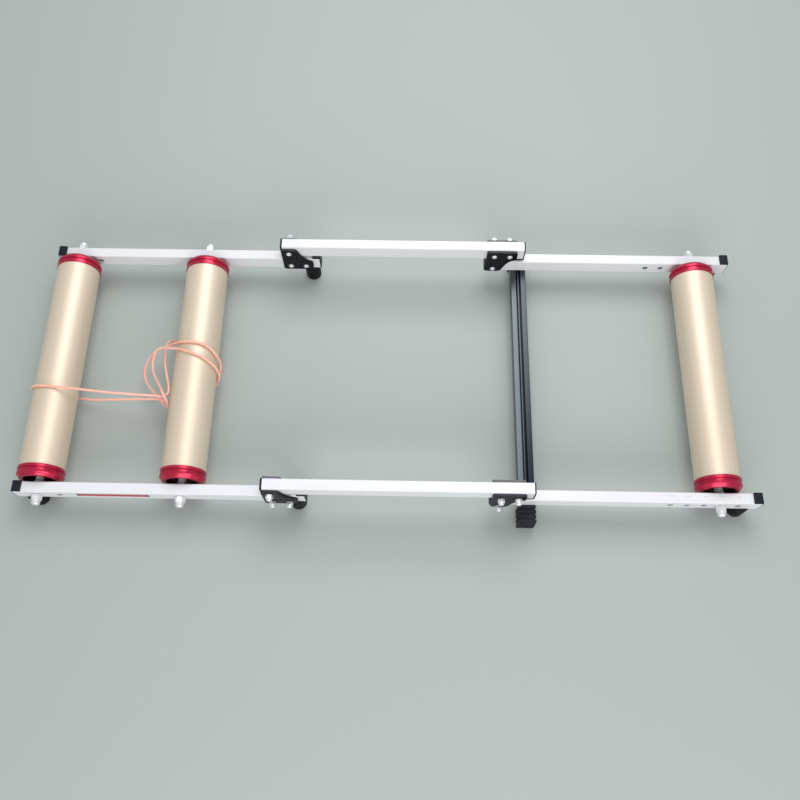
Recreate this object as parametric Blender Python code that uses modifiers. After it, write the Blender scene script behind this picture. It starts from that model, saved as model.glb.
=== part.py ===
"""Folding bike rollers: three drums in a frame with two fold hinges, the drive belt stowed on two drums.

Metres, +Z up. +X runs from the rear pair of drums to the front drum, and +Y is the rollers' left side.
The origin is on the floor, under the middle of the frame.
"""

import math

import bmesh
import bpy
import numpy as np
from mathutils import Matrix, Vector

MM = 0.001

# Clearance between pieces that seat on each other, turn on each other or lie face to face
FIT = 0.3 * MM

# Rails: rectangular tube on two levels, the middle pair one step above the others
RAIL_WIDTH = 20 * MM
RAIL_HEIGHT = 32 * MM
RAIL_WALL = 1.5 * MM
RAIL_EDGE = 2 * MM
RAIL_BOTTOM = 40 * MM
TRACK = 468 * MM
STACK_GAP = 10.5 * MM
HALF_RAILS = 665 * MM
PIVOT_X = 201.5 * MM
TUBE_PAST_PIVOT = 12.5 * MM
TUBE_PAST_BOLT = 27 * MM

# End plugs: a flange, a spigot in the tube and, on some, a pad. The pads by the rear hinge fill the gap
# to the middle rails. The flanges differ at the frame's ends, past the fixing bolts and at the pivots.
END_FLANGE = 1 * MM
HINGE_FLANGE = 2.5 * MM
PIVOT_FLANGE = 4 * MM
PLUG_EDGE = 2.5 * MM
LONG_SPIGOT = 14 * MM
SHORT_SPIGOT = 6 * MM
PAD_LENGTH = 16 * MM
END_PAD_HEIGHT = 4.5 * MM
UNDER_PAD_LENGTH = 18 * MM
UNDER_PAD_HEIGHT = 4 * MM

# Hinge plates, one design for all eight
PLATE_THICKNESS = 5 * MM
BOLT_PITCH = 30 * MM
PLATE_FOOT = 13 * MM
PLATE_TOE = 14.5 * MM
PLATE_SHOULDER = 10 * MM
PLATE_HALF_NECK = 15 * MM
PLATE_HEAD = 10.5 * MM
PLATE_HIGH_THROAT = (7 * MM, 8.5 * MM)
PLATE_LOW_THROAT = (14.5 * MM, 8.5 * MM)
PLATE_FILLETS = (4.5 * MM, 6.5 * MM, 6 * MM, 14 * MM, 20 * MM, 8 * MM, 4 * MM)

# M6 bolts of the hinges and their dome nuts
BOLT_RADIUS = 3 * MM
BOLT_HEAD_RADIUS = 5.2 * MM
BOLT_HEAD_HEIGHT = 2.2 * MM
NUT_ACROSS = 12 * MM
NUT_HEX_HEIGHT = 7.5 * MM
NUT_HEIGHT = 12 * MM

# Shapes of the nuts' domes, as shares of a nut's width and a dome's radius, and of the bolts' heads
DOME_SHARE = 0.44
DOME_FACE_SHARE = 0.7
DOME_DROP_SHARE = 0.3
HEAD_FACE_SHARE = 0.75
SOCKET_SHARE = 0.35

# Drums and their stations along the rails
DRUM_RADIUS = 40 * MM
DRUM_WALL = 2 * MM
REAR_AXLE_INSET = 39 * MM
REAR_DRUM_SPACING = 258 * MM
SPARE_HOLE_OFFSET = 41 * MM
FRONT_HOLE_INSET = 39 * MM
FRONT_HOLE_PITCH = 30 * MM
FRONT_HOLES = 5
FRONT_HOLE_USED = 1

# Drum end caps: spigot, rim, a nose that clears the folded hinge bolts, and the web round the bearing
CAP_RIM_STEP = 1.5 * MM
CAP_RIM_LENGTH = 21.1 * MM
CAP_RIM_WALL = 13 * MM
CAP_NOSE_STEP = 4 * MM
CAP_NOSE = 5 * MM
CAP_NOSE_LENGTH = 6.4 * MM
CAP_DISH = 11.4 * MM
CAP_DRAFT = 1 * MM
CAP_SPIGOT = 20 * MM
CAP_SPIGOT_WALL = 2 * MM
CAP_LIP = 3.7 * MM
CAP_LIP_WIDTH = 3 * MM

# Bearings, axles and what holds them between the rails
BEARING_OUTER = 13 * MM
BEARING_RECESS = 1 * MM
BEARING_WIDTH = 8 * MM
BEARING_RACE_WALL = 1.6 * MM
BEARING_SHIELD = 0.8 * MM
BEARING_SHIELD_GAP = 0.6 * MM
AXLE_RADIUS = 5 * MM
AXLE_STEP = 1 * MM
SPACER_WALL = 2 * MM
LOCK_NUT_ACROSS = 17 * MM
LOCK_NUT_HEIGHT = 6 * MM
AXLE_NUT_HEX_HEIGHT = 11.5 * MM
AXLE_NUT_HEIGHT = 20 * MM

# Rubber feet under the rails
FOOT_RADIUS = 15 * MM
FOOT_BULGE = 0.5 * MM
FOOT_RECESS_RADIUS = 6.2 * MM
FOOT_RECESS = 6 * MM
FOOT_STUD_REACH = 8 * MM
FOOT_INSET = 25 * MM
HINGE_FOOT_INSET = 17.5 * MM

# Slotted crossbar under the front rails, with a ribbed rubber foot plugged into each end
CROSSBAR_WIDTH = 30 * MM
CROSSBAR_HEIGHT = 20 * MM
CROSSBAR_FROM_PIVOT = 52.5 * MM
SLOT_OPENING = 8 * MM
SLOT_LIP = 2 * MM
SLOT_WIDTH = 12 * MM
SLOT_HEIGHT = 4 * MM
CROSSBAR_WALL = 2 * MM
CROSSBAR_BOLT_HEAD_RADIUS = 5 * MM
CROSSBAR_BOLT_HEAD_HEIGHT = 4 * MM
END_FOOT_PAST_SIDE = 0.8 * MM
END_FOOT_ABOVE = 3.5 * MM
END_FOOT_SPIGOT = 20 * MM
RIB = 5 * MM
RIB_GAP = 4 * MM
RIBS = 4
RIB_DEPTH = 1.6 * MM

# Drive belt: an endless round cord stowed round the two rear drums
BELT_RADIUS = 2.5 * MM
BELT_POINT_SPACING = 12.5 * MM

# Facets of the round pieces
DRUM_STEPS = 20
BEARING_STEPS = 12
AXLE_STEPS = 12
BOLT_STEPS = 10
FOOT_STEPS = 12
HEX_STEPS = 12
BELT_SAMPLES = 24
SHARP_ANGLE = math.radians(40)

# The largest share of an outline's side that one fillet takes, and how far a hole's cutter reaches past
FILLET_SHARE = 0.45
CUT_REACH = 6 * MM

# Sizes and places that follow from those above
BOLT_HOLE = BOLT_RADIUS + FIT
AXLE_HOLE = AXLE_RADIUS + FIT
AXLE_SHOULDER = AXLE_RADIUS + AXLE_STEP
SPACER_RADIUS = AXLE_RADIUS + SPACER_WALL
RAIL_Y = TRACK / 2 + RAIL_WIDTH / 2
RAIL_IN = TRACK / 2
RAIL_OUT = TRACK / 2 + RAIL_WIDTH
LOW_Z = RAIL_BOTTOM + RAIL_HEIGHT / 2
LEVEL_STEP = RAIL_HEIGHT + STACK_GAP
HIGH_Z = LOW_Z + LEVEL_STEP
PLATE_IN_Y = RAIL_IN - FIT - PLATE_THICKNESS / 2
PLATE_OUT_Y = RAIL_OUT + FIT + PLATE_THICKNESS / 2
BOLT_SEAT_Y = RAIL_IN - 2 * FIT - PLATE_THICKNESS
NUT_SEAT_Y = RAIL_OUT + 2 * FIT + PLATE_THICKNESS
REAR_AXLE_X = REAR_AXLE_INSET - HALF_RAILS
CENTRE_AXLE_X = REAR_AXLE_X + REAR_DRUM_SPACING
FRONT_HOLE_XS = [HALF_RAILS - FRONT_HOLE_INSET - FRONT_HOLE_PITCH * k for k in range(FRONT_HOLES)]
FRONT_AXLE_X = FRONT_HOLE_XS[FRONT_HOLE_USED]
REAR_TUBE_END = -PIVOT_X + BOLT_PITCH + TUBE_PAST_BOLT
MIDDLE_TUBE_FROM = -PIVOT_X - TUBE_PAST_PIVOT
MIDDLE_TUBE_TO = PIVOT_X + BOLT_PITCH + TUBE_PAST_BOLT
FRONT_TUBE_FROM = PIVOT_X - TUBE_PAST_PIVOT
CROSSBAR_X = PIVOT_X + CROSSBAR_FROM_PIVOT
CROSSBAR_TOP = RAIL_BOTTOM - FIT
CROSSBAR_HOLLOW = (CROSSBAR_WALL - CROSSBAR_HEIGHT, -SLOT_LIP - SLOT_HEIGHT - CROSSBAR_WALL)
SIDES = (("left", 1), ("right", -1))

# The belt's route in millimetres from the rear drum's middle. It goes over and round that drum, along to
# the centre drum and under it, over its top to an inner arch, once round its own two strands as a hitch,
# up an outer arch, over and under the centre drum again, and back to the rear drum's top.
BELT_ROUTE = [
    (5.3, -60.5, 43.1), (-13.4, -59, 41.3), (-29, -56, 32.3), (-39.6, -53.5, 17.7), (-43.4, -52, -1.5),
    (-37.6, -50.5, -21.7), (-23, -49.5, -36.8), (-4.5, -49, -43.2), (25, -50, -41), (65, -57, -30),
    (105, -60, -19), (145, -63, -9), (173, -65, -2), (193, -66.5, 2), (204, -67.5, 1), (211, -69.5, -6),
    (215, -72, -15), (219.5, -75, -23), (228.5, -76, -33.2), (241.7, -67, -40.8), (256.5, -54, -43.4),
    (271.4, -41, -41.3), (284.7, -30, -34.2), (295.5, -22.5, -23), (301, -17.5, -12), (303, -13.5, -1.5),
    (301.8, -9, 10.5), (293.5, -3, 26.7), (279.2, 4, 38.6), (261, 10.5, 43.3), (243.2, 17, 40.8),
    (229, 24, 32.8), (214, 28, 26), (197, 33.5, 17), (181, 32, 8), (174.5, 17, 0), (174, -1, -5),
    (181.5, -18.5, -2), (191, -34, 6), (199.5, -48, 14), (205, -57.5, 20), (210, -67, 20), (214, -74, 13),
    (214, -78, 3), (210.5, -79, -7.5), (202, -71, -15.5), (190, -56, -18), (175, -41, -20), (161, -24, -24),
    (153, -5, -28), (153, 14, -26), (162, 27.5, -17), (178, 37.5, -4), (200, 39.5, 10), (221, 39.5, 24.5),
    (237.6, 36.5, 38.3), (255, 34, 43.3), (273.6, 31.5, 40.8), (289.4, 26, 31.7), (299, 17.5, 19),
    (303.5, 10.5, 4.5), (303, 0, -7.5), (299, -7, -19), (289.1, -6, -31.6), (275.7, 4, -40.2),
    (261.8, 17, -43.2), (249, 31, -42.5), (233, 48, -42), (218, 63, -39), (205, 71, -33), (196.5, 68, -24),
    (193, 56, -15), (193.5, 38, -7), (197, 16, -1), (202.5, -8, 4), (210.5, -33, 9), (215, -49.5, 13),
    (214.8, -58.5, 13), (207, -64, 11.5), (190, -64, 13), (155, -65.5, 21), (115, -66, 29),
    (75, -64.5, 35.5), (40, -62.5, 40.3),
]

for old in list(bpy.data.objects):
    bpy.data.objects.remove(old, do_unlink=True)

PARTS = bpy.data.collections.new("bike_rollers")
CUTTERS = bpy.data.collections.new("cutters")
for holder in (PARTS, CUTTERS):
    bpy.context.scene.collection.children.link(holder)


def material(name, colour, roughness, metallic=0.0):
    made = bpy.data.materials.new(name)
    made.use_nodes = True
    shader = made.node_tree.nodes["Principled BSDF"]
    shader.inputs["Base Color"].default_value = (*colour, 1.0)
    shader.inputs["Roughness"].default_value = roughness
    shader.inputs["Metallic"].default_value = metallic
    made.diffuse_color = (*colour, 1.0)
    return made


WHITE_PAINT = material("white_paint", (0.83, 0.83, 0.86), 0.3)
BLACK_PAINT = material("black_paint", (0.02, 0.02, 0.022), 0.4)
BLACK_PLASTIC = material("black_plastic", (0.025, 0.025, 0.027), 0.5)
RUBBER = material("rubber", (0.02, 0.02, 0.02), 0.75)
ZINC = material("zinc", (0.75, 0.75, 0.77), 0.25, 1.0)
AXLE_STEEL = material("axle_steel", (0.6, 0.6, 0.62), 0.3, 1.0)
BEARING_STEEL = material("bearing_steel", (0.65, 0.65, 0.67), 0.2, 1.0)
DRUM_FINISH = material("drum_finish", (0.82, 0.73, 0.62), 0.35, 0.6)
RED_ANODISED = material("red_anodised", (0.35, 0.02, 0.04), 0.3, 0.8)
BLACK_ALUMINIUM = material("black_aluminium", (0.05, 0.05, 0.055), 0.35, 0.6)
BELT = material("belt_urethane", (0.85, 0.4, 0.28), 0.35)


def evaluated(obj):
    """The mesh of a helper object with its modifiers applied and its loose seams welded."""
    PARTS.objects.link(obj)
    graph = bpy.context.evaluated_depsgraph_get()
    mesh = bpy.data.meshes.new_from_object(obj.evaluated_get(graph))
    PARTS.objects.unlink(obj)
    source = obj.data
    bpy.data.objects.remove(obj)
    if isinstance(source, bpy.types.Curve):
        bpy.data.curves.remove(source)
    body = bmesh.new()
    body.from_mesh(mesh)
    bmesh.ops.remove_doubles(body, verts=body.verts, dist=0.001 * MM)
    body.to_mesh(mesh)
    body.free()
    return mesh


def turned(profile, steps):
    """A profile of (radius, height) points turned about Z. It runs down the outer side.

    A profile that starts and ends on the axis is solid, and any other closes to a ring.
    """
    count = len(profile)
    solid = profile[0][0] == 0 and profile[-1][0] == 0
    edges = [(k, (k + 1) % count) for k in range(count - 1 if solid else count)]
    mesh = bpy.data.meshes.new("profile")
    mesh.from_pydata([(radius, 0, height) for radius, height in profile], edges, [])
    obj = bpy.data.objects.new("profile", mesh)
    screw = obj.modifiers.new("Turn", "SCREW")
    screw.axis = "Z"
    screw.steps = screw.render_steps = steps
    screw.use_merge_vertices = True
    screw.merge_threshold = 0.01 * MM
    return evaluated(obj)


def slab(outlines, thickness):
    """A flat outline in the XY plane, with any holes, as thick as stated about that plane."""
    curve = bpy.data.curves.new("outline", "CURVE")
    curve.dimensions = "2D"
    curve.fill_mode = "BOTH"
    curve.extrude = thickness / 2
    for outline in outlines:
        spline = curve.splines.new("POLY")
        spline.points.add(len(outline) - 1)
        for point, (x, y) in zip(spline.points, outline):
            point.co = (x, y, 0, 1)
        spline.use_cyclic_u = True
    return evaluated(bpy.data.objects.new("outline", curve))


def box(x, y, z):
    """A box between three (low, high) pairs."""
    body = bmesh.new()
    bmesh.ops.create_cube(body, size=1.0)
    size = [high - low for low, high in (x, y, z)]
    middle = [(high + low) / 2 for low, high in (x, y, z)]
    bmesh.ops.scale(body, vec=size, verts=body.verts)
    bmesh.ops.translate(body, vec=middle, verts=body.verts)
    mesh = bpy.data.meshes.new("box")
    body.to_mesh(mesh)
    body.free()
    return mesh


def cylinder(radius, length, steps):
    """A cylinder along Z about the origin."""
    body = bmesh.new()
    bmesh.ops.create_cone(body, cap_ends=True, segments=steps, radius1=radius, radius2=radius, depth=length)
    mesh = bpy.data.meshes.new("cylinder")
    body.to_mesh(mesh)
    body.free()
    return mesh


def gathered(bodies):
    """One mesh that holds a copy of each (mesh, place) pair as a separate body."""
    whole = bmesh.new()
    for mesh, place in bodies:
        copy = mesh.copy()
        copy.transform(place)
        whole.from_mesh(copy)
        bpy.data.meshes.remove(copy)
    mesh = bpy.data.meshes.new("group")
    whole.to_mesh(mesh)
    whole.free()
    return mesh


def combined(first, second, operation):
    """The two meshes united, or the first one less the second."""
    obj = bpy.data.objects.new("first", first)
    other = bpy.data.objects.new("second", second)
    CUTTERS.objects.link(other)
    boolean = obj.modifiers.new("Boolean", "BOOLEAN")
    boolean.operation = operation
    boolean.object = other
    mesh = evaluated(obj)
    bpy.data.objects.remove(other)
    return mesh


def circle(x, y, radius, steps):
    angles = [2 * math.pi * k / steps for k in range(steps)]
    return [(x + radius * math.cos(angle), y + radius * math.sin(angle)) for angle in angles]


def rectangle(x, y):
    """A rectangle between two (low, high) pairs."""
    return [(x[0], y[0]), (x[1], y[0]), (x[1], y[1]), (x[0], y[1])]


def filleted(corners, radii, arc_points=4):
    """A closed outline whose corners are arcs of the radii given, or smaller where a side is short."""
    outline = []
    for k, (corner, radius) in enumerate(zip(corners, radii)):
        here = Vector(corner)
        back = Vector(corners[k - 1]) - here
        ahead = Vector(corners[(k + 1) % len(corners)]) - here
        half = back.angle(ahead) / 2
        tangent = min(radius / math.tan(half), FILLET_SHARE * back.length, FILLET_SHARE * ahead.length)
        back.normalize()
        ahead.normalize()
        centre = here + (back + ahead).normalized() * tangent / math.cos(half)
        start = here + back * tangent - centre
        end = here + ahead * tangent - centre
        turn = start.angle_signed(end)
        for step in range(arc_points):
            spoke = start.copy()
            spoke.rotate(Matrix.Rotation(-turn * step / (arc_points - 1), 2))
            outline.append(tuple(centre + spoke))
    return outline


def shift(x=0.0, y=0.0, z=0.0):
    return Matrix.Translation((x, y, z))


def outward(side):
    """Turns +Z to point out of the frame on that side."""
    return Matrix.Rotation(-side * math.pi / 2, 4, "X")


# Turns an outline's own Y up or down, and its thickness across the frame
UPRIGHT = Matrix.Rotation(math.pi / 2, 4, "X")
HANGING = Matrix.Rotation(-math.pi / 2, 4, "X")
# Turns a plug's outer face from +X to -X
REARWARD = Matrix.Rotation(math.pi, 4, "Z")

PLACES = {}


def section(name, at, parent=None):
    """An empty that carries the pieces that move together, at a point on their joint's axis."""
    empty = bpy.data.objects.new(name, None)
    PARTS.objects.link(empty)
    PLACES[empty] = Vector(at)
    if parent:
        empty.parent = parent
        empty.location = PLACES[empty] - PLACES[parent]
    else:
        empty.location = at
    return empty


def part(name, mesh, look, carrier, place):
    """One piece of the rollers. `place` is a matrix in the rollers' own frame."""
    obj = bpy.data.objects.new(name, mesh)
    if not mesh.materials:
        mesh.materials.append(look)
        mesh.shade_smooth()
        mesh.set_sharp_from_angle(angle=SHARP_ANGLE)
    PARTS.objects.link(obj)
    obj.parent = carrier
    obj.matrix_basis = shift(*-PLACES[carrier]) @ place
    return obj


REAR = section("rear_section", (0, 0, 0))
MIDDLE = section("middle_section", (-PIVOT_X, 0, HIGH_Z), REAR)
FRONT = section("front_section", (PIVOT_X, 0, LOW_Z), MIDDLE)
DRUMS = {
    "rear": section("rear_drum", (REAR_AXLE_X, 0, LOW_Z), REAR),
    "centre": section("centre_drum", (CENTRE_AXLE_X, 0, LOW_Z), REAR),
    "front": section("front_drum", (FRONT_AXLE_X, 0, LOW_Z), FRONT),
}


def rail_tube(start, end):
    """A rectangular tube with chamfered long edges, along X, centred on its own height and width."""
    half_height = RAIL_HEIGHT / 2
    half_width = RAIL_WIDTH / 2
    outer = []
    for x, y, corner in ((-1, -1, 0), (1, -1, 1), (1, 1, 0), (-1, 1, 1)):
        cuts = [
            (x * half_height, y * (half_width - RAIL_EDGE)),
            (x * (half_height - RAIL_EDGE), y * half_width),
        ]
        outer += reversed(cuts) if corner else cuts
    inner_height = half_height - RAIL_WALL
    inner_width = half_width - RAIL_WALL
    inner = rectangle((-inner_height, inner_height), (-inner_width, inner_width))
    mesh = slab([outer, inner], end - start)
    mesh.transform(shift(x=(start + end) / 2) @ Matrix.Rotation(math.pi / 2, 4, "Y"))
    return mesh


def rail_pair(name, start, end, level, carrier, bolt_xs, axle_xs, screw_xs):
    """The left and right rails of a section, with cross holes and holes in the bottom wall."""
    tube = rail_tube(start, end)
    across = RAIL_WIDTH + 2 * CUT_REACH
    bolt = cylinder(BOLT_HOLE, across, BOLT_STEPS)
    axle = cylinder(AXLE_HOLE, across, AXLE_STEPS)
    screw = cylinder(BOLT_HOLE, 2 * CUT_REACH, BOLT_STEPS)
    holes = [(bolt, shift(x=x) @ UPRIGHT) for x in bolt_xs]
    holes += [(axle, shift(x=x) @ UPRIGHT) for x in axle_xs]
    holes += [(screw, shift(x=x, z=-RAIL_HEIGHT / 2)) for x in screw_xs]
    cuts = gathered(holes)
    for side_name, side in SIDES:
        place = shift(y=side * RAIL_Y, z=level)
        rail = part(f"{name}_{side_name}", tube, WHITE_PAINT, carrier, place)
        cutter = bpy.data.objects.new(f"{name}_{side_name}_holes", cuts)
        CUTTERS.objects.link(cutter)
        cutter.parent = rail
        cutter.hide_render = True
        cutter.display_type = "WIRE"
        boolean = rail.modifiers.new("Holes", "BOOLEAN")
        boolean.operation = "DIFFERENCE"
        boolean.object = cutter


def plug(flange, spigot, over=0.0, over_height=0.0, under=0.0, under_height=0.0):
    """An end plug: +X out of the tube, origin in the middle of the tube's end.

    `over` and `under` are the whole lengths of the pads above and below the tube, flange included.
    """
    half = RAIL_HEIGHT / 2
    top = half + over_height
    bottom = -half - under_height
    corners = [(FIT, bottom), (flange, bottom), (flange, top), (FIT, top)]
    radii = [RAIL_EDGE, PLUG_EDGE, PLUG_EDGE, RAIL_EDGE]
    if over:
        corners[3:] = [(flange - over, top), (flange - over, half + FIT), (FIT, half + FIT)]
        radii[3:] = [PLUG_EDGE, RAIL_EDGE, FIT]
    if under:
        corners[:1] = [(FIT, -half - FIT), (flange - under, -half - FIT), (flange - under, bottom)]
        radii[:1] = [FIT, RAIL_EDGE, PLUG_EDGE]
    head = slab([filleted(corners, radii, 3)], RAIL_WIDTH)
    head.transform(UPRIGHT)
    half_width = RAIL_WIDTH / 2 - RAIL_WALL - FIT
    half_height = half - RAIL_WALL - FIT
    overlap = FIT + flange / 4
    stem = box((-spigot, overlap), (-half_width, half_width), (-half_height, half_height))
    return combined(head, stem, "UNION")


def plug_set(name, carrier, level, rear, front):
    """The plugs of both rails of a section. `rear` and `front` are (tube end, plug)."""
    for side_name, side in SIDES:
        for end_name, (x, mesh), turn in (("rear", rear, REARWARD), ("front", front, Matrix())):
            place = shift(x, side * RAIL_Y, level) @ turn
            part(f"{name}_{end_name}_plug_{side_name}", mesh, BLACK_PLASTIC, carrier, place)


def make_rails():
    stacked = plug(END_FLANGE, LONG_SPIGOT, over=PAD_LENGTH, over_height=END_PAD_HEIGHT)
    stacked_short = plug(HINGE_FLANGE, SHORT_SPIGOT, over=PAD_LENGTH, over_height=STACK_GAP - FIT)
    plain = plug(PIVOT_FLANGE, SHORT_SPIGOT)
    footed = plug(HINGE_FLANGE, LONG_SPIGOT, under=UNDER_PAD_LENGTH, under_height=UNDER_PAD_HEIGHT)

    rear_bolts = [-PIVOT_X, -PIVOT_X + BOLT_PITCH]
    rear_axles = [REAR_AXLE_X, REAR_AXLE_X + SPARE_HOLE_OFFSET, CENTRE_AXLE_X]
    rear_screws = [FOOT_INSET - HALF_RAILS, REAR_TUBE_END - HINGE_FOOT_INSET]
    rear_span = (-HALF_RAILS, REAR_TUBE_END)
    rail_pair("rear_rail", *rear_span, LOW_Z, REAR, rear_bolts, rear_axles, rear_screws)
    plug_set("rear_rail", REAR, LOW_Z, (-HALF_RAILS, stacked), (REAR_TUBE_END, stacked_short))

    middle_bolts = [PIVOT_X, PIVOT_X + BOLT_PITCH]
    middle_span = (MIDDLE_TUBE_FROM, MIDDLE_TUBE_TO)
    rail_pair("middle_rail", *middle_span, HIGH_Z, MIDDLE, middle_bolts, [-PIVOT_X], [])
    plug_set("middle_rail", MIDDLE, HIGH_Z, (MIDDLE_TUBE_FROM, plain), (MIDDLE_TUBE_TO, footed))

    front_screws = [CROSSBAR_X, HALF_RAILS - FOOT_INSET]
    front_span = (FRONT_TUBE_FROM, HALF_RAILS)
    rail_pair("front_rail", *front_span, LOW_Z, FRONT, [], [PIVOT_X, *FRONT_HOLE_XS], front_screws)
    plug_set("front_rail", FRONT, LOW_Z, (FRONT_TUBE_FROM, plain), (HALF_RAILS, stacked))


def hinge_plate():
    """X from the pivot's station, Y from the fixed rail's centre line towards the pivot."""
    far = BOLT_PITCH + PLATE_TOE
    head = LEVEL_STEP + PLATE_HEAD
    low_along, low_up = PLATE_LOW_THROAT
    high_along, high_down = PLATE_HIGH_THROAT
    corners = [
        (-PLATE_HALF_NECK, -PLATE_FOOT),
        (far, -PLATE_FOOT),
        (far, PLATE_SHOULDER),
        (far - low_along, PLATE_SHOULDER + low_up),
        (PLATE_HALF_NECK + high_along, LEVEL_STEP - high_down),
        (PLATE_HALF_NECK, head),
        (-PLATE_HALF_NECK, head),
    ]
    holes = [circle(x, y, BOLT_HOLE, BOLT_STEPS) for x, y in ((0, 0), (BOLT_PITCH, 0), (0, LEVEL_STEP))]
    return slab([filleted(corners, PLATE_FILLETS), *holes], PLATE_THICKNESS)


def hexagonal(mesh, across):
    """Flattens the widest rings of a mesh turned in HEX_STEPS steps to a hexagon of that width."""
    for vertex in mesh.vertices:
        radius = math.hypot(vertex.co.x, vertex.co.y)
        step = round(math.atan2(vertex.co.y, vertex.co.x) / (2 * math.pi / HEX_STEPS))
        if radius > across / 2 and step % 2:
            vertex.co.xy *= across / 2 / radius
    return mesh


def dome_nut_profile(across, seat, hex_height, height):
    """A hexagon nut with a closed dome, from its top down to the outer edge of its seat."""
    corner = across / 2 / math.cos(math.pi / 6)
    dome = across * DOME_SHARE
    return [
        (0, seat + height),
        (dome * DOME_FACE_SHARE, seat + height - dome * DOME_DROP_SHARE),
        (dome, seat + hex_height),
        (corner, seat + hex_height),
        (corner, seat),
    ]


def hinge_bolt(nut_seat, shoulder):
    """A bolt out of the frame along +Z, button head inside and dome nut outside, in one piece."""
    head = BOLT_HEAD_RADIUS
    end = BOLT_SEAT_Y - BOLT_HEAD_HEIGHT
    profile = [
        *dome_nut_profile(NUT_ACROSS, nut_seat, NUT_HEX_HEIGHT, NUT_SEAT_Y + NUT_HEIGHT - nut_seat),
        (BOLT_RADIUS, nut_seat),
        *shoulder,
        (BOLT_RADIUS, BOLT_SEAT_Y),
        (head, BOLT_SEAT_Y),
        (head * HEAD_FACE_SHARE, end),
        (head * SOCKET_SHARE, end),
        (0, end + BOLT_HEAD_HEIGHT / 2),
    ]
    return hexagonal(turned(profile, HEX_STEPS), NUT_ACROSS)


def ring(inner, outer, start, end, steps):
    return turned([(outer, end), (outer, start), (inner, start), (inner, end)], steps)


def make_hinges():
    """Both fold hinges. Each has a plate inside and outside each rail, two fixing bolts and a pivot.

    The outer plate carries its two fixing bolts with their nuts, and the pivot's bolt has a shoulder
    that is the moving rail's bearing.
    """
    plate = hinge_plate()
    fixing = hinge_bolt(PLATE_OUT_Y, [])
    shoulder = [
        (BOLT_RADIUS, RAIL_OUT),
        (AXLE_RADIUS, RAIL_OUT),
        (AXLE_RADIUS, RAIL_IN),
        (BOLT_RADIUS, RAIL_IN),
    ]
    pivot = hinge_bolt(NUT_SEAT_Y, shoulder)
    # Outer plates by the way that their nuts face along the plate's own Z
    bolted = {}
    for facing, turn in ((1, Matrix()), (-1, Matrix.Rotation(math.pi, 4, "X"))):
        body = plate
        for x in (0, BOLT_PITCH):
            bolt = fixing.copy()
            bolt.transform(shift(x=x) @ turn @ shift(z=-PLATE_OUT_Y))
            body = combined(body, bolt, "UNION")
        bolted[facing] = body
    hinges = (
        ("rear", -PIVOT_X, LOW_Z, HIGH_Z, UPRIGHT, -1, REAR),
        ("front", PIVOT_X, HIGH_Z, LOW_Z, HANGING, 1, MIDDLE),
    )
    for name, x, fixed_z, pivot_z, stand, facing, carrier in hinges:
        for side_name, side in SIDES:
            layers = (("inner", PLATE_IN_Y, plate), ("outer", PLATE_OUT_Y, bolted[side * facing]))
            for layer, y, mesh in layers:
                place = shift(x, side * y, fixed_z) @ stand
                part(f"{name}_hinge_plate_{side_name}_{layer}", mesh, BLACK_PAINT, carrier, place)
            place = shift(x, 0, pivot_z) @ outward(side)
            part(f"{name}_pivot_pin_{side_name}", pivot, ZINC, carrier, place)


# Stations across the frame, from the rail's inner face inwards, for one end of an axle
LOCK_NUT_Y = RAIL_IN - FIT
CAP_END_Y = BOLT_SEAT_Y
CAP_NOSE_Y = BOLT_SEAT_Y - BOLT_HEAD_HEIGHT - FIT
WEB_Y = CAP_END_Y - CAP_DISH
BEARING_Y = WEB_Y - BEARING_RECESS
SHOULDER_Y = BEARING_Y - BEARING_WIDTH - FIT
TUBE_END_Y = CAP_END_Y - CAP_RIM_LENGTH - FIT


def drum_cap():
    """The profile of an end cap, out from the drum's middle along +Z."""
    rim = DRUM_RADIUS + CAP_RIM_STEP
    inside_rim = rim - CAP_RIM_WALL
    spigot = DRUM_RADIUS - DRUM_WALL - FIT
    spigot_in = spigot - CAP_SPIGOT_WALL
    rim_start = TUBE_END_Y + FIT
    seat = BEARING_OUTER + FIT
    lip = BEARING_OUTER - CAP_LIP_WIDTH
    profile = [
        (rim - CAP_NOSE, CAP_END_Y),
        (rim - CAP_NOSE_STEP, CAP_NOSE_Y),
        (rim, CAP_END_Y - CAP_NOSE_LENGTH),
        (rim, rim_start),
        (spigot, rim_start),
        (spigot, TUBE_END_Y - CAP_SPIGOT),
        (spigot_in, TUBE_END_Y - CAP_SPIGOT),
        (spigot_in, SHOULDER_Y - CAP_LIP),
        (lip, SHOULDER_Y - CAP_LIP),
        (lip, SHOULDER_Y),
        (seat, SHOULDER_Y),
        (seat, WEB_Y),
        (inside_rim - CAP_DRAFT, WEB_Y),
        (inside_rim, CAP_END_Y),
    ]
    return turned(profile, DRUM_STEPS)


def bearing():
    """A shielded bearing's outer ring with its shields, out along +Z. Its inner ring is on the axle."""
    low = BEARING_Y - BEARING_WIDTH
    race = BEARING_OUTER - BEARING_RACE_WALL
    hole = SPACER_RADIUS + BEARING_SHIELD_GAP
    profile = [
        (BEARING_OUTER, BEARING_Y),
        (BEARING_OUTER, low),
        (hole, low),
        (hole, low + BEARING_SHIELD),
        (race, low + BEARING_SHIELD),
        (race, BEARING_Y - BEARING_SHIELD),
        (hole, BEARING_Y - BEARING_SHIELD),
        (hole, BEARING_Y),
    ]
    return turned(profile, BEARING_STEPS)


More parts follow.
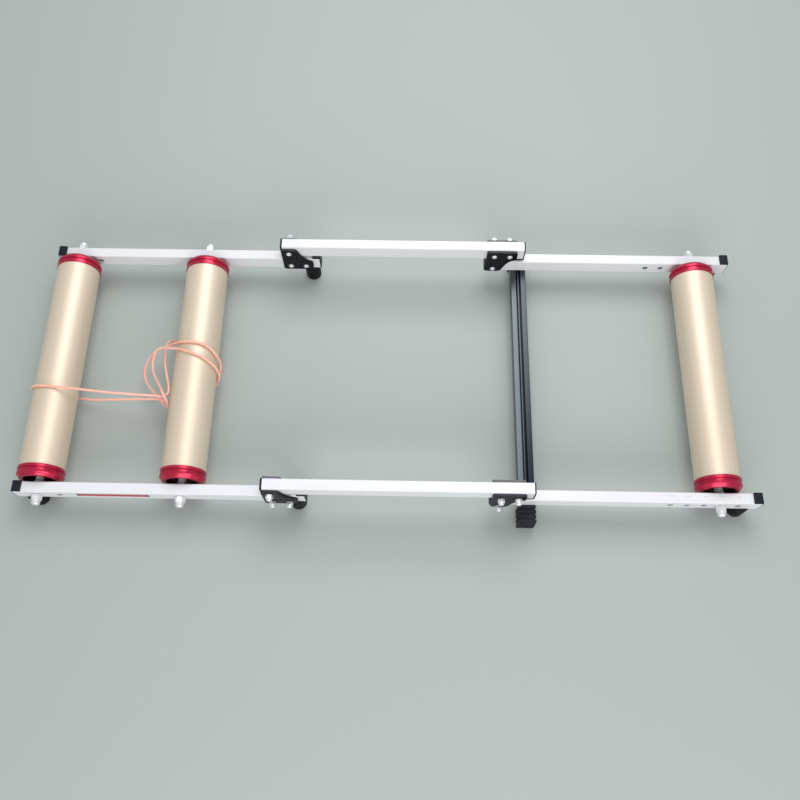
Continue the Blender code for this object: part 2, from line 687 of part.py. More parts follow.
def make_drums():
    """The turning pieces of each drum: its tube, two end caps and two bearings."""
    reach = TUBE_END_Y
    tube = ring(DRUM_RADIUS - DRUM_WALL, DRUM_RADIUS, -reach, reach, DRUM_STEPS)
    cap = drum_cap()
    race = bearing()
    for name, carrier in DRUMS.items():
        axis = Matrix.Translation(PLACES[carrier])
        part(f"{name}_drum_tube", tube, DRUM_FINISH, carrier, axis @ outward(1))
        for side_name, side in SIDES:
            place = axis @ outward(side)
            part(f"{name}_drum_cap_{side_name}", cap, RED_ANODISED, carrier, place)
            part(f"{name}_drum_bearing_{side_name}", race, BEARING_STEEL, carrier, place)


def make_axles():
    """The standing axles. Each carries its bearings' inner rings, spacers, lock nuts and dome nuts.

    The lock nut and the dome nut clamp the rail between them on both sides.
    """
    corner = LOCK_NUT_ACROSS / 2 / math.cos(math.pi / 6)
    nut_seat = RAIL_OUT + FIT
    half = [
        *dome_nut_profile(LOCK_NUT_ACROSS, nut_seat, AXLE_NUT_HEX_HEIGHT, AXLE_NUT_HEIGHT),
        (AXLE_RADIUS, nut_seat),
        (AXLE_RADIUS, LOCK_NUT_Y),
        (corner, LOCK_NUT_Y),
        (corner, LOCK_NUT_Y - LOCK_NUT_HEIGHT),
        (SPACER_RADIUS, LOCK_NUT_Y - LOCK_NUT_HEIGHT),
        (SPACER_RADIUS, BEARING_Y - BEARING_WIDTH),
        (AXLE_SHOULDER, SHOULDER_Y),
    ]
    other_half = [(radius, -y) for radius, y in reversed(half)]
    axle = hexagonal(turned(half + other_half, HEX_STEPS), LOCK_NUT_ACROSS)
    for name, carrier in (("rear", REAR), ("centre", REAR), ("front", FRONT)):
        axis = Matrix.Translation(PLACES[DRUMS[name]])
        part(f"{name}_drum_axle", axle, AXLE_STEEL, carrier, axis @ outward(1))


def make_feet():
    """Round rubber feet, each on a moulded-in stud that screws up into the rail's bottom wall."""
    top = RAIL_BOTTOM - FIT
    stud = RAIL_BOTTOM + FOOT_STUD_REACH
    foot = turned(
        [
            (0, stud),
            (BOLT_RADIUS, stud),
            (BOLT_RADIUS, top),
            (FOOT_RADIUS, top),
            (FOOT_RADIUS + FOOT_BULGE, top / 2),
            (FOOT_RADIUS - FOOT_BULGE, 0),
            (FOOT_RECESS_RADIUS, 0),
            (FOOT_RECESS_RADIUS, FOOT_RECESS),
            (0, FOOT_RECESS),
        ],
        FOOT_STEPS,
    )
    stations = (
        ("rear_foot", FOOT_INSET - HALF_RAILS, REAR),
        ("hinge_foot", REAR_TUBE_END - HINGE_FOOT_INSET, REAR),
        ("front_foot", HALF_RAILS - FOOT_INSET, FRONT),
    )
    for name, x, carrier in stations:
        for side_name, side in SIDES:
            part(f"{name}_{side_name}", foot, RUBBER, carrier, shift(x=x, y=side * RAIL_Y))


def crossbar():
    """The bar's section drawn upright, with its slot open at the top, then laid along Y."""
    half = CROSSBAR_WIDTH / 2
    lip = -SLOT_LIP
    floor = lip - SLOT_HEIGHT
    outline = [
        (-half, -CROSSBAR_HEIGHT),
        (half, -CROSSBAR_HEIGHT),
        (half, 0),
        (SLOT_OPENING / 2, 0),
        (SLOT_OPENING / 2, lip),
        (SLOT_WIDTH / 2, lip),
        (SLOT_WIDTH / 2, floor),
        (-SLOT_WIDTH / 2, floor),
        (-SLOT_WIDTH / 2, lip),
        (-SLOT_OPENING / 2, lip),
        (-SLOT_OPENING / 2, 0),
        (-half, 0),
    ]
    inside = half - CROSSBAR_WALL
    mesh = slab([outline, rectangle((-inside, inside), CROSSBAR_HOLLOW)], 2 * RAIL_OUT)
    mesh.transform(UPRIGHT)
    return mesh


def end_foot():
    """A ribbed foot for the +Y end: ribs on a core, with a spigot that fills the bar's hollow."""
    start = RAIL_OUT + FIT
    half = CROSSBAR_WIDTH / 2 + END_FOOT_PAST_SIDE
    height = RAIL_BOTTOM + END_FOOT_ABOVE
    length = RIBS * RIB + (RIBS - 1) * RIB_GAP
    slim = half - RIB_DEPTH
    foot = box((-slim, slim), (start, start + length), (RIB_DEPTH, height - RIB_DEPTH))
    for k in range(RIBS):
        rib_start = start + k * (RIB + RIB_GAP)
        rib = box((-half, half), (rib_start, rib_start + RIB), (0, height))
        foot = combined(foot, rib, "UNION")
    inside = CROSSBAR_WIDTH / 2 - CROSSBAR_WALL - FIT
    low, high = CROSSBAR_HOLLOW
    across = (start - END_FOOT_SPIGOT, start + RIB / 2)
    spigot = box((-inside, inside), across, (CROSSBAR_TOP + low + FIT, CROSSBAR_TOP + high - FIT))
    return combined(foot, spigot, "UNION")


def make_crossbar():
    part("crossbar", crossbar(), BLACK_ALUMINIUM, FRONT, shift(x=CROSSBAR_X, z=CROSSBAR_TOP))
    foot = end_foot()
    for side_name, side in SIDES:
        turn = Matrix() if side > 0 else Matrix.Rotation(math.pi, 4, "Z")
        part(f"crossbar_foot_{side_name}", foot, RUBBER, FRONT, shift(x=CROSSBAR_X) @ turn)

    floor = CROSSBAR_TOP - SLOT_LIP - SLOT_HEIGHT + FIT
    seat = RAIL_BOTTOM + RAIL_WALL + FIT
    head_top = seat + CROSSBAR_BOLT_HEAD_HEIGHT
    nut_top = CROSSBAR_TOP - SLOT_LIP - FIT
    bolt = turned(
        [
            (0, head_top),
            (CROSSBAR_BOLT_HEAD_RADIUS, head_top),
            (CROSSBAR_BOLT_HEAD_RADIUS, seat),
            (BOLT_RADIUS, seat),
            (BOLT_RADIUS, floor),
            (0, floor),
        ],
        BOLT_STEPS,
    )
    half = SLOT_WIDTH / 2 - FIT
    bolt = combined(bolt, box((-half, half), (-half, half), (floor, nut_top)), "UNION")
    for side_name, side in SIDES:
        place = shift(x=CROSSBAR_X, y=side * RAIL_Y)
        part(f"crossbar_bolt_{side_name}", bolt, ZINC, FRONT, place)


def smooth_loop(points, spacing):
    """Evenly spaced points, about as far apart as stated, on a smooth closed curve through the route."""
    fine = []
    count = len(points)
    for k in range(count):
        p0, p1, p2, p3 = (points[(k + step) % count] for step in (-1, 0, 1, 2))
        t0 = 0.0
        t1 = t0 + math.sqrt(np.linalg.norm(p1 - p0))
        t2 = t1 + math.sqrt(np.linalg.norm(p2 - p1))
        t3 = t2 + math.sqrt(np.linalg.norm(p3 - p2))
        for t in np.linspace(t1, t2, BELT_SAMPLES, endpoint=False):
            a1 = ((t1 - t) * p0 + (t - t0) * p1) / (t1 - t0)
            a2 = ((t2 - t) * p1 + (t - t1) * p2) / (t2 - t1)
            a3 = ((t3 - t) * p2 + (t - t2) * p3) / (t3 - t2)
            b1 = ((t2 - t) * a1 + (t - t0) * a2) / (t2 - t0)
            b2 = ((t3 - t) * a2 + (t - t1) * a3) / (t3 - t1)
            fine.append(((t2 - t) * b1 + (t - t1) * b2) / (t2 - t1))
    fine = np.array(fine + fine[:1])
    along = np.concatenate([[0.0], np.cumsum(np.linalg.norm(np.diff(fine, axis=0), axis=1))])
    stations = np.linspace(0.0, along[-1], round(along[-1] / spacing), endpoint=False)
    return np.stack([np.interp(stations, along, fine[:, axis]) for axis in range(3)], axis=1)


def print_least_gap(points):
    """Prints the belt's length and its least gap to itself, measured on points along its centre line."""
    between = [points + (np.roll(points, -1, axis=0) - points) * share for share in (0, 0.25, 0.5, 0.75)]
    samples = np.stack(between, axis=1).reshape(-1, 3)
    steps = np.linalg.norm(np.roll(samples, -1, axis=0) - samples, axis=1)
    along = np.cumsum(steps) - steps[0]
    length = steps.sum()
    apart = np.abs(along[:, None] - along[None, :])
    apart = np.minimum(apart, length - apart)
    distance = np.linalg.norm(samples[:, None] - samples[None, :], axis=2)
    gap = distance[apart > 8 * BELT_RADIUS].min() - 2 * BELT_RADIUS
    print(f"drive belt: {length / MM:.0f} mm long, least gap to itself {gap / MM:.2f} mm")


def make_belt():
    route = np.array(BELT_ROUTE) * MM + (REAR_AXLE_X, 0, LOW_Z)
    points = smooth_loop(route, BELT_POINT_SPACING)
    print_least_gap(points)
    curve = bpy.data.curves.new("drive_belt", "CURVE")
    curve.dimensions = "3D"
    curve.bevel_depth = BELT_RADIUS
    curve.bevel_resolution = 1
    spline = curve.splines.new("POLY")
    spline.points.add(len(points) - 1)
    for point, place in zip(spline.points, points):
        point.co = (*place, 1)
    spline.use_cyclic_u = True
    curve.materials.append(BELT)
    belt = bpy.data.objects.new("drive_belt", curve)
    PARTS.objects.link(belt)
    belt.parent = REAR


make_rails()
make_hinges()
make_drums()
make_axles()
make_feet()
make_crossbar()
make_belt()
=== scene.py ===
import math

import bmesh
import bpy
import numpy as np
from mathutils import Matrix, Vector


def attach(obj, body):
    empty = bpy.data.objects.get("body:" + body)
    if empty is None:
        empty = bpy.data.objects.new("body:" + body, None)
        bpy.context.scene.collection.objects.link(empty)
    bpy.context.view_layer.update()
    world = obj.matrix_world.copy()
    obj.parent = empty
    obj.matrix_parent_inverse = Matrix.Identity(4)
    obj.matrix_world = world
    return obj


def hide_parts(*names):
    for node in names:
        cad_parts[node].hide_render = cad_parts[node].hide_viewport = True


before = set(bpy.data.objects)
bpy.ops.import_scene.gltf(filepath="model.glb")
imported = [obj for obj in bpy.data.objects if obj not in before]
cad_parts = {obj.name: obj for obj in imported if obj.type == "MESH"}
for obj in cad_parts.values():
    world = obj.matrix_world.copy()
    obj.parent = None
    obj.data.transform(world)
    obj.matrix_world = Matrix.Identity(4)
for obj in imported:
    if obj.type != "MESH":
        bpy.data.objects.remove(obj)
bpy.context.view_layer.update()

scene = bpy.context.scene
scene.view_settings.view_transform = "Standard"

# Camera: it stands a little above head height at the rollers' near side and looks steeply down on them.
# Its place, turns and focal length, in pixels of an 800 pixel wide picture, follow the rails' lines.
EYE = Vector((0.0393, -0.6632, 1.5190))
LOOK_DOWN = math.radians(67.572)
LOOK_ASIDE = math.radians(-1.660)
LEAN = math.radians(-0.630)
FOCAL_LENGTH = 844.5
PICTURE_WIDTH = 800
FILM_WIDTH = 36

forward = math.cos(LOOK_DOWN)
ahead = Vector((math.sin(LOOK_ASIDE) * forward, math.cos(LOOK_ASIDE) * forward, -math.sin(LOOK_DOWN)))
across = Vector((math.cos(LOOK_ASIDE), -math.sin(LOOK_ASIDE), 0))
upright = across.cross(ahead)
right = math.cos(LEAN) * across + math.sin(LEAN) * upright
up = math.cos(LEAN) * upright - math.sin(LEAN) * across
camera = bpy.data.objects.new("camera", bpy.data.cameras.new("camera"))
camera.data.sensor_width = FILM_WIDTH
camera.data.lens = FOCAL_LENGTH / PICTURE_WIDTH * FILM_WIDTH
camera.data.clip_start = 0.02
camera.data.clip_end = 30
view = camera.matrix_world.copy()
for row in range(3):
    view[row][0], view[row][1], view[row][2] = right[row], up[row], -ahead[row]
    view[row][3] = EYE[row]
camera.matrix_world = view
scene.collection.objects.link(camera)
scene.camera = camera

# Floor and light: a plain pale floor, and over it soft lamps as large as windows. The main one stands
# above and behind the rollers, where it lays a long highlight down each drum; the other lifts the shadows.
FLOOR_COLOUR = (0.40, 0.44, 0.42)
FLOOR_SIZE = 40.0
WORLD_COLOUR = (0.86, 0.90, 0.92)
WORLD_STRENGTH = 0.68
LAMPS = (
    ("window", (0.25, 1.35, 2.35), (1.5, 1.9), 38.0),
    ("front_fill", (0.30, -2.6, 1.3), (2.4, 1.2), 42.0),
)


class Shade:
    """A socket of a finish's node tree. Sums, differences and products of it add their Math nodes."""

    def __init__(self, tree, socket=None):
        self.tree = tree
        self.socket = socket

    def node(self, kind, settings, values, out=0):
        """Any node, from its type, its settings, and the values or links of its sockets."""
        made = self.tree.nodes.new(kind)
        for name, setting in settings.items():
            setattr(made, name, setting)
        for name, value in values.items():
            if isinstance(value, Shade):
                self.tree.links.new(value.socket, made.inputs[name])
            else:
                made.inputs[name].default_value = value
        return Shade(self.tree, made.outputs[out])

    def math(self, operation, *values):
        return self.node("ShaderNodeMath", {"operation": operation}, dict(enumerate(values)))

    def __add__(self, other):
        return self.math("ADD", self, other)

    def __mul__(self, other):
        return self.math("MULTIPLY", self, other)

    def __sub__(self, other):
        return self.math("SUBTRACT", self, other)

    def __rsub__(self, other):
        return self.math("SUBTRACT", other, self)

    __radd__ = __add__
    __rmul__ = __mul__

    def between(self, low, high):
        """0 below low, 1 above high, and a smooth rise from one to the other."""
        settings = {"interpolation_type": "SMOOTHSTEP"}
        values = {"Value": self, "From Min": low, "From Max": high}
        return self.node("ShaderNodeMapRange", settings, values)

    def colour(self, first, second):
        """A colour from the first, at 0, to the second, at 1."""
        ends = [end if isinstance(end, Shade) else (*end, 1) for end in (first, second)]
        return self.node("ShaderNodeMix", {"data_type": "RGBA"}, {0: self, 6: ends[0], 7: ends[1]}, 2)

    def place(self, stretch=(1, 1, 1)):
        """Where a point is on the object as it is put together, in metres, stretched for a pattern."""
        here = self.node("ShaderNodeTexCoord", {}, {}, "Object")
        return self.node("ShaderNodeMapping", {}, {"Vector": here, "Scale": stretch})

    def part(self, axis):
        """One coordinate of the point on the object, in metres."""
        return self.node("ShaderNodeSeparateXYZ", {}, {"Vector": self.place()}, axis)

    def upward(self, low, high):
        """Rises from 0 to 1 with how far the surface faces up."""
        facing = self.node("ShaderNodeTexCoord", {}, {}, "Normal")
        return self.node("ShaderNodeSeparateXYZ", {}, {"Vector": facing}, "Z").between(low, high)

    def grain(self, size, stretch=(1, 1, 1), detail=3.0):
        """Cloudy noise of that size in metres."""
        values = {"Vector": self.place(stretch), "Scale": 1 / size, "Detail": detail}
        return self.node("ShaderNodeTexNoise", {}, values)

    def relief(self, height, depth, strength):
        """A bumped normal, its depth in metres."""
        return self.node("ShaderNodeBump", {}, {"Height": height, "Distance": depth, "Strength": strength})


def finish(name, fixed):
    """A new finish with its fixed values on the shader. Returns it, a Shade of it and its shader."""
    made = bpy.data.materials.new(name)
    made.use_nodes = True
    shader = made.node_tree.nodes["Principled BSDF"]
    for socket, value in fixed.items():
        shader.inputs[socket].default_value = value
    return made, Shade(made.node_tree), shader


def vary(shader, **shades):
    """Links what changes over the surface to the shader: colour, roughness or normal."""
    sockets = {"colour": "Base Color", "roughness": "Roughness", "normal": "Normal"}
    for name, shade in shades.items():
        shade.tree.links.new(shade.socket, shader.inputs[sockets[name]])


def lamp(name, place, size, power):
    """A soft lamp that faces the rollers' middle."""
    made = bpy.data.lights.new(name, "AREA")
    made.shape = "RECTANGLE"
    made.size, made.size_y = size
    made.energy = power
    thing = bpy.data.objects.new(name, made)
    thing.location = place
    thing.rotation_euler = (-Vector(place)).to_track_quat("-Z", "Y").to_euler()
    scene.collection.objects.link(thing)


for settings in LAMPS:
    lamp(*settings)

floor_finish, shade, shader = finish("floor", {"Roughness": 0.6})
patches = shade.grain(0.9, detail=2.0)
pale = tuple(part * 0.97 for part in FLOOR_COLOUR)
vary(shader, colour=patches.colour(FLOOR_COLOUR, pale), roughness=0.5 + 0.15 * patches)
reach = FLOOR_SIZE / 2
corners = [(-reach, -reach, 0), (reach, -reach, 0), (reach, reach, 0), (-reach, reach, 0)]
sheet = bpy.data.meshes.new("floor")
sheet.from_pydata(corners, [], [(0, 1, 2, 3)])
sheet.materials.append(floor_finish)
ground = bpy.data.objects.new("floor", sheet)
scene.collection.objects.link(ground)

world = bpy.data.worlds.new("studio")
world.use_nodes = True
scene.world = world
backdrop = world.node_tree.nodes["Background"]
backdrop.inputs["Color"].default_value = (*WORLD_COLOUR, 1)
backdrop.inputs["Strength"].default_value = WORLD_STRENGTH

# Rails: rectangular steel tube with a gloss white powder coat, 20 mm wide and 32 mm high. The middle pair
# lies one step higher. Both walls are bored for the axles, with five stations to move the front drum to.
MM = 0.001
RAIL_WIDTH = 20
RAIL_HEIGHT = 32
RAIL_WALL = 1.5
RAIL_CORNER = 2.2
RAIL_INSIDE = 234
RAIL_MIDDLE = RAIL_INSIDE + RAIL_WIDTH / 2
LOW_LEVEL = 56
HIGH_LEVEL = 98.5
AXLE_HOLE = 5.3
REAR_RAIL = (-665, -144.5)
MIDDLE_RAIL = (-214, 258.5)
FRONT_RAIL = (189, 665)
REAR_HOLES = (-626, -585, -368)
HOLE_PITCH = 30
FRONT_HOLES = tuple(626 - HOLE_PITCH * k for k in range(5))
ROD_STEPS = 40
SIDES = (("left", 1), ("right", -1))


def arc(middle, radius, start, end, steps):
    """Points of an arc from one angle to the other, in degrees."""
    angles = np.radians(np.linspace(start, end, steps))
    return [(middle[0] + radius * math.cos(a), middle[1] + radius * math.sin(a)) for a in angles]


def rounded_box(width, height, corner, steps=5):
    """The outline of a rectangle with round corners, about its middle."""
    x, y = width / 2 - corner, height / 2 - corner
    outline = []
    for middle, start in (((x, y), 0), ((-x, y), 90), ((-x, -y), 180), ((x, -y), 270)):
        outline += arc(middle, corner, start, start + 90, steps)
    return outline


def joined(loops, closed):
    """A shell over loops of as many points each: closed on itself, or with its two ends filled."""
    count = len(loops[0])
    points = [point for loop in loops for point in loop]
    starts = [k * count for k in range(len(loops))]
    faces = [] if closed else [list(range(count)), list(range(starts[-1], starts[-1] + count))]
    for low, high in zip(starts, starts[1:] + starts[:1] if closed else starts[1:]):
        for k in range(count):
            j = (k + 1) % count
            faces.append([low + k, low + j, high + j, high + k])
    return points, faces


def turned(profile, steps, x=0.0, z=0.0):
    """A shell turned about an axle along Y. A profile of (radius, y) closes on itself or on the axle."""
    angles = np.linspace(0, 2 * math.pi, steps, endpoint=False)
    points, rings, faces = [], [], []
    for radius, y in profile:
        start = len(points)
        if radius == 0:
            points.append((x, y, z))
            rings.append([start] * steps)
        else:
            points += [(x + radius * math.sin(a), y, z + radius * math.cos(a)) for a in angles]
            rings.append(list(range(start, start + steps)))
    if profile[0][0]:
        rings.append(rings[0])
    for low, high in zip(rings, rings[1:]):
        for k in range(steps):
            j = (k + 1) % steps
            side = list(dict.fromkeys((low[k], low[j], high[j], high[k])))
            if len(side) > 2:
                faces.append(side)
    return points, faces


def solid_rod(radius, low, high):
    """The profile of a plain rod from y low to high."""
    return [(0, low), (radius, low), (radius, high), (0, high)]


def mesh_of(shells):
    """A mesh of closed shells given in millimetres, its faces outward."""
    mesh = bpy.data.meshes.new("shells")
    corners, faces = [], []
    for points, sides in shells:
        start = len(corners)
        corners += [(x * MM, y * MM, z * MM) for x, y, z in points]
        faces += [[start + k for k in side] for side in sides]
    mesh.from_pydata(corners, [], faces)
    work = bmesh.new()
    work.from_mesh(mesh)
    bmesh.ops.recalc_face_normals(work, faces=work.faces)
    work.to_mesh(mesh)
    work.free()
    return mesh


def evaluated(thing):
    """The plain mesh that an object's modifiers make."""
    graph = bpy.context.evaluated_depsgraph_get()
    return bpy.data.meshes.new_from_object(thing.evaluated_get(graph), depsgraph=graph)


def finished(mesh, edge=0.0, steps=2, holes=None, sharp=35):
    """The mesh with its edges rounded and its holes cut, shaded smooth up to the sharp angle."""
    work = bpy.data.objects.new("work", mesh)
    scene.collection.objects.link(work)
    drill = None
    if edge:
        bevel = work.modifiers.new("edges", "BEVEL")
        bevel.width = edge * MM
        bevel.segments = steps
        bevel.limit_method = "ANGLE"
        bevel.angle_limit = math.radians(40)
    if holes:
        drill = bpy.data.objects.new("drill", mesh_of(holes))
        scene.collection.objects.link(drill)
        cut = work.modifiers.new("holes", "BOOLEAN")
        cut.operation = "DIFFERENCE"
        cut.object = drill
    work.data = evaluated(work)
    work.modifiers.clear()
    work.data.shade_smooth()
    work.data.set_sharp_from_angle(angle=math.radians(sharp))
    even = work.modifiers.new("flat faces stay flat", "WEIGHTED_NORMAL")
    even.keep_sharp = True
    result = evaluated(work)
    for spare in (work, drill):
        if spare:
            bpy.data.objects.remove(spare)
    return result


def piece(name, mesh, look, body, nodes):
    """Puts a finished mesh in place and says what it rides on, stands for and takes its finish from."""
    mesh.materials.clear()
    mesh.materials.append(look)
    thing = bpy.data.objects.new(name, mesh)
    scene.collection.objects.link(thing)
    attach(thing, body)
    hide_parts(*nodes)


# Gloss white powder coat: a faint orange-peel skin, thin dust and rubbed, duller places
white, shade, shader = finish("white_powder_coat", {"Coat Weight": 0.35, "Coat Roughness": 0.12})
clouds = shade.grain(0.09)
dust = shade.grain(0.004, detail=5.0).between(0.58, 0.75)
skin = shade.grain(0.0016, detail=2.0)
clean = clouds.colour((0.80, 0.80, 0.84), (0.74, 0.74, 0.77))
colour = (dust * 0.35).colour(clean, (0.56, 0.55, 0.54))
rough = 0.26 + 0.12 * clouds + 0.15 * dust
vary(shader, colour=colour, roughness=rough, normal=shade.relief(skin, 0.00008, 0.6))

outside = rounded_box(RAIL_WIDTH, RAIL_HEIGHT, RAIL_CORNER)
inside = rounded_box(RAIL_WIDTH - 2 * RAIL_WALL, RAIL_HEIGHT - 2 * RAIL_WALL, RAIL_CORNER - RAIL_WALL)
for rail, (start, end), level, holes, body in (
    ("rear", REAR_RAIL, LOW_LEVEL, REAR_HOLES, "rear_frame"),
    ("middle", MIDDLE_RAIL, HIGH_LEVEL, (), "middle_frame"),
    ("front", FRONT_RAIL, LOW_LEVEL, FRONT_HOLES, "front_frame"),
):
    for side_name, side in SIDES:
        middle = side * RAIL_MIDDLE
        loops = [
            [(x, middle + y, level + z) for y, z in outline]
            for x, outline in ((start, outside), (end, outside), (end, inside), (start, inside))
        ]
        drill = solid_rod(AXLE_HOLE, middle - RAIL_WIDTH, middle + RAIL_WIDTH)
        bores = [turned(drill, ROD_STEPS, x, level) for x in holes]
        tube = finished(mesh_of([joined(loops, True)]), holes=bores)
        piece(f"{rail}_tube_{side_name}", tube, white, body, [f"{rail}_rail_{side_name}"])

# End plugs: black moulded plastic, tapped into the tubes' ends. Those at the frame's ends have a low pad
# on top, those by the rear hinge fill the gap to the middle rails, and the middle rails' have one below.
PLUG_EDGE = 0.9
PLUG_CORNER = 2.5
PAD_LENGTH = 16
PAD_HEIGHT = 10.2
END_PAD_HEIGHT = 4.5
PAD_EDGE = 1.6
UNDER_PAD_LENGTH = 18
UNDER_PAD_HEIGHT = 4
END_FLANGE = 1
HINGE_FLANGE = 2.5
PIVOT_FLANGE = 4
SPIGOT = 6
SPIGOT_WIDTH = 16.4
SPIGOT_HEIGHT = 28.4
SPIGOT_CORNER = 0.7
GAP = 0.3


def rounded(corners, radii, steps=5):
    """An outline with its corners rounded, no fillet longer than its share of a side."""
    outline = []
    count = len(corners)
    for k, (corner, radius) in enumerate(zip(corners, radii)):
        at = Vector(corner)
        back = Vector(corners[k - 1]) - at
        on = Vector(corners[(k + 1) % count]) - at
        half = back.angle(on) / 2
        reach = min(radius / math.tan(half), 0.45 * back.length, 0.45 * on.length)
        radius = reach * math.tan(half)
        middle = at + (back.normalized() + on.normalized()).normalized() * radius / math.sin(half)
        first = at + back.normalized() * reach - middle
        turn = first.angle_signed(at + on.normalized() * reach - middle)
        for step in range(steps):
            spoke = first.copy()
            spoke.rotate(Matrix.Rotation(-turn * step / (steps - 1), 2))
            outline.append(tuple(middle + spoke))
    return outline


def slab(outline, low, high):
    """A shell from y low to high over an outline in x and z."""
    return joined([[(x, y, z) for x, z in outline] for y in (low, high)], False)


# Satin black moulding with a fine spark-eroded grain and a little grey dust
black_plastic, shade, shader = finish("black_moulded_plastic", {"Specular IOR Level": 0.2})
grain = shade.grain(0.0009, detail=2.0)
clouds = shade.grain(0.012)
colour = clouds.colour((0.005, 0.007, 0.010), (0.016, 0.019, 0.024))
vary(shader, colour=colour, roughness=0.36 + 0.2 * clouds, normal=shade.relief(grain, 0.00012, 0.7))

half_rail = RAIL_HEIGHT / 2
stem_outline = rounded_box(SPIGOT_WIDTH, SPIGOT_HEIGHT, SPIGOT_CORNER)
for rail, end_name, x, way, level, flange, pad, under, body in (
    ("rear", "rear", REAR_RAIL[0], -1, LOW_LEVEL, END_FLANGE, END_PAD_HEIGHT, 0, "rear_frame"),
    ("rear", "front", REAR_RAIL[1], 1, LOW_LEVEL, HINGE_FLANGE, PAD_HEIGHT, 0, "rear_frame"),
    ("middle", "rear", MIDDLE_RAIL[0], -1, HIGH_LEVEL, PIVOT_FLANGE, 0, 0, "middle_frame"),
    ("middle", "front", MIDDLE_RAIL[1], 1, HIGH_LEVEL, HINGE_FLANGE, 0, UNDER_PAD_HEIGHT, "middle_frame"),
    ("front", "rear", FRONT_RAIL[0], -1, LOW_LEVEL, PIVOT_FLANGE, 0, 0, "front_frame"),
    ("front", "front", FRONT_RAIL[1], 1, LOW_LEVEL, END_FLANGE, END_PAD_HEIGHT, 0, "front_frame"),
):
    top = half_rail + pad
    bottom = -half_rail - under
    corners = [(GAP, bottom), (flange, bottom), (flange, top), (GAP, top)]
    radii = [0.3, PLUG_CORNER, PLUG_CORNER, 0.3]
    if pad:
        inner = flange - PAD_LENGTH
        corners[3:] = [(inner, top), (inner, half_rail + GAP), (GAP, half_rail + GAP)]
        radii[3:] = [PLUG_CORNER, 0.6, 0.2]
    if under:
        inner = flange - UNDER_PAD_LENGTH
        corners[:1] = [(GAP, -half_rail - GAP), (inner, -half_rail - GAP), (inner, bottom)]
        radii[:1] = [0.2, 0.6, 1.6]
    outline = [(x + way * along, level + height) for along, height in rounded(corners, radii)]
    stem_ends = (x - way * SPIGOT, x + way * flange / 2)
    edge = PAD_EDGE if pad == END_PAD_HEIGHT else PLUG_EDGE
    for side_name, side in SIDES:
        middle = side * RAIL_MIDDLE
        head = slab(outline, middle - RAIL_WIDTH / 2, middle + RAIL_WIDTH / 2)
        stem_loops = [[(end, middle + y, level + z) for y, z in stem_outline] for end in stem_ends]
        stem = joined(stem_loops, False)
        name = f"{rail}_rail_{end_name}_plug_{side_name}"
        plug = finished(mesh_of([head, stem]), edge=edge, steps=3)
        piece(f"{rail}_{end_name}_end_cap_{side_name}", plug, black_plastic, body, [name])

# Hinge plates: 5 mm steel, laser-cut, painted satin black, one inside and one outside each rail. Two bolts
# fix a plate to its own rail, and the neighbour turns on the third. The front ones stand upside down.
PIVOT = 201.5
BOLT_PITCH = 30
PLATE_THICKNESS = 5
PLATE_INSIDE = 228.7
PLATE_OUTSIDE = 254.3
PLATE_EDGE = 0.8
LEVEL_STEP = HIGH_LEVEL - LOW_LEVEL
PLATE_CORNERS = (
    (-15, -13), (44.5, -13), (44.5, 10), (30, 18.5), (22, LEVEL_STEP - 8.5), (15, 53), (-15, 53),
)
PLATE_FILLETS = (4.5, 6.5, 6, 14, 20, 8, 4)


def plate_paint(name, edge):
    """Satin black paint on cut steel: faint spray texture, and a painted highlight on the edges facing up.
    """
    look, shade, shader = finish(name, {"Specular IOR Level": 0.14})
    spray = shade.grain(0.0014)
    rubs_and_highlight_patches = shade.grain(0.011, detail=4.0).between(0.5, 0.72)
    black = rubs_and_highlight_patches.colour((0.004, 0.006, 0.009), (0.012, 0.015, 0.020))
    # A painted highlight: faces that look up are greyed towards the edge colour
    colour = (shade.upward(0.35, 0.75) * (0.75 + 0.25 * rubs_and_highlight_patches)).colour(black, edge)
    vary(shader, colour=colour, roughness=0.30 + 0.16 * rubs_and_highlight_patches, normal=shade.relief(spray, 0.0001, 0.7))
    return look


# Lit and shaded copies of the paint: a bright painted highlight, and a dim one for plates in a rail's
# shadow
paint_dim_top_highlight = plate_paint("black_paint_dim_top_highlight", (0.045, 0.048, 0.055))
paint_bright_top_highlight = plate_paint("black_paint_bright_top_highlight", (0.230, 0.235, 0.245))
plate_shape = rounded(PLATE_CORNERS, PLATE_FILLETS, 8)
for hinge, body in (("rear", "rear_frame"), ("front", "middle_frame")):
    if hinge == "rear":
        outline = [(x - PIVOT, LOW_LEVEL + z) for x, z in plate_shape]
    else:
        outline = [(PIVOT + x, HIGH_LEVEL - z) for x, z in plate_shape]
    for side_name, side in SIDES:
        for where, start in (("inner", PLATE_INSIDE), ("outer", PLATE_OUTSIDE)):
            plate = slab(outline, *sorted((side * start, side * (start + PLATE_THICKNESS))))
            mesh = finished(mesh_of([plate]), edge=PLATE_EDGE)
            node = f"{hinge}_hinge_plate_{side_name}_{where}"
            # Plates facing the main lamp take the bright painted highlight, those in their rail's shadow
            # the dim one
            paint = paint_bright_top_highlight if (where == "outer") == (side > 0) else paint_dim_top_highlight
            piece(f"{hinge}_{where}_plate_{side_name}", mesh, paint, body, [node])

# Hinge bolts: M6, bright zinc, with button heads on the inside and dome nuts on the outside. Each sits on
# its own axis across the rail, and no two nuts stop at the same turn.
BOLT_RADIUS = 3
BOLT_STEPS = 24
HEAD_RADIUS = 5.2
HEAD_HEIGHT = 2.2
HEAD_SEAT = 228.4
HEAD_STEPS = 48
NUT_SEAT = 259.6
NUT_ACROSS = 12
NUT_HEXAGON = 7.5
NUT_HEIGHT = 12
NUT_STEPS = 72


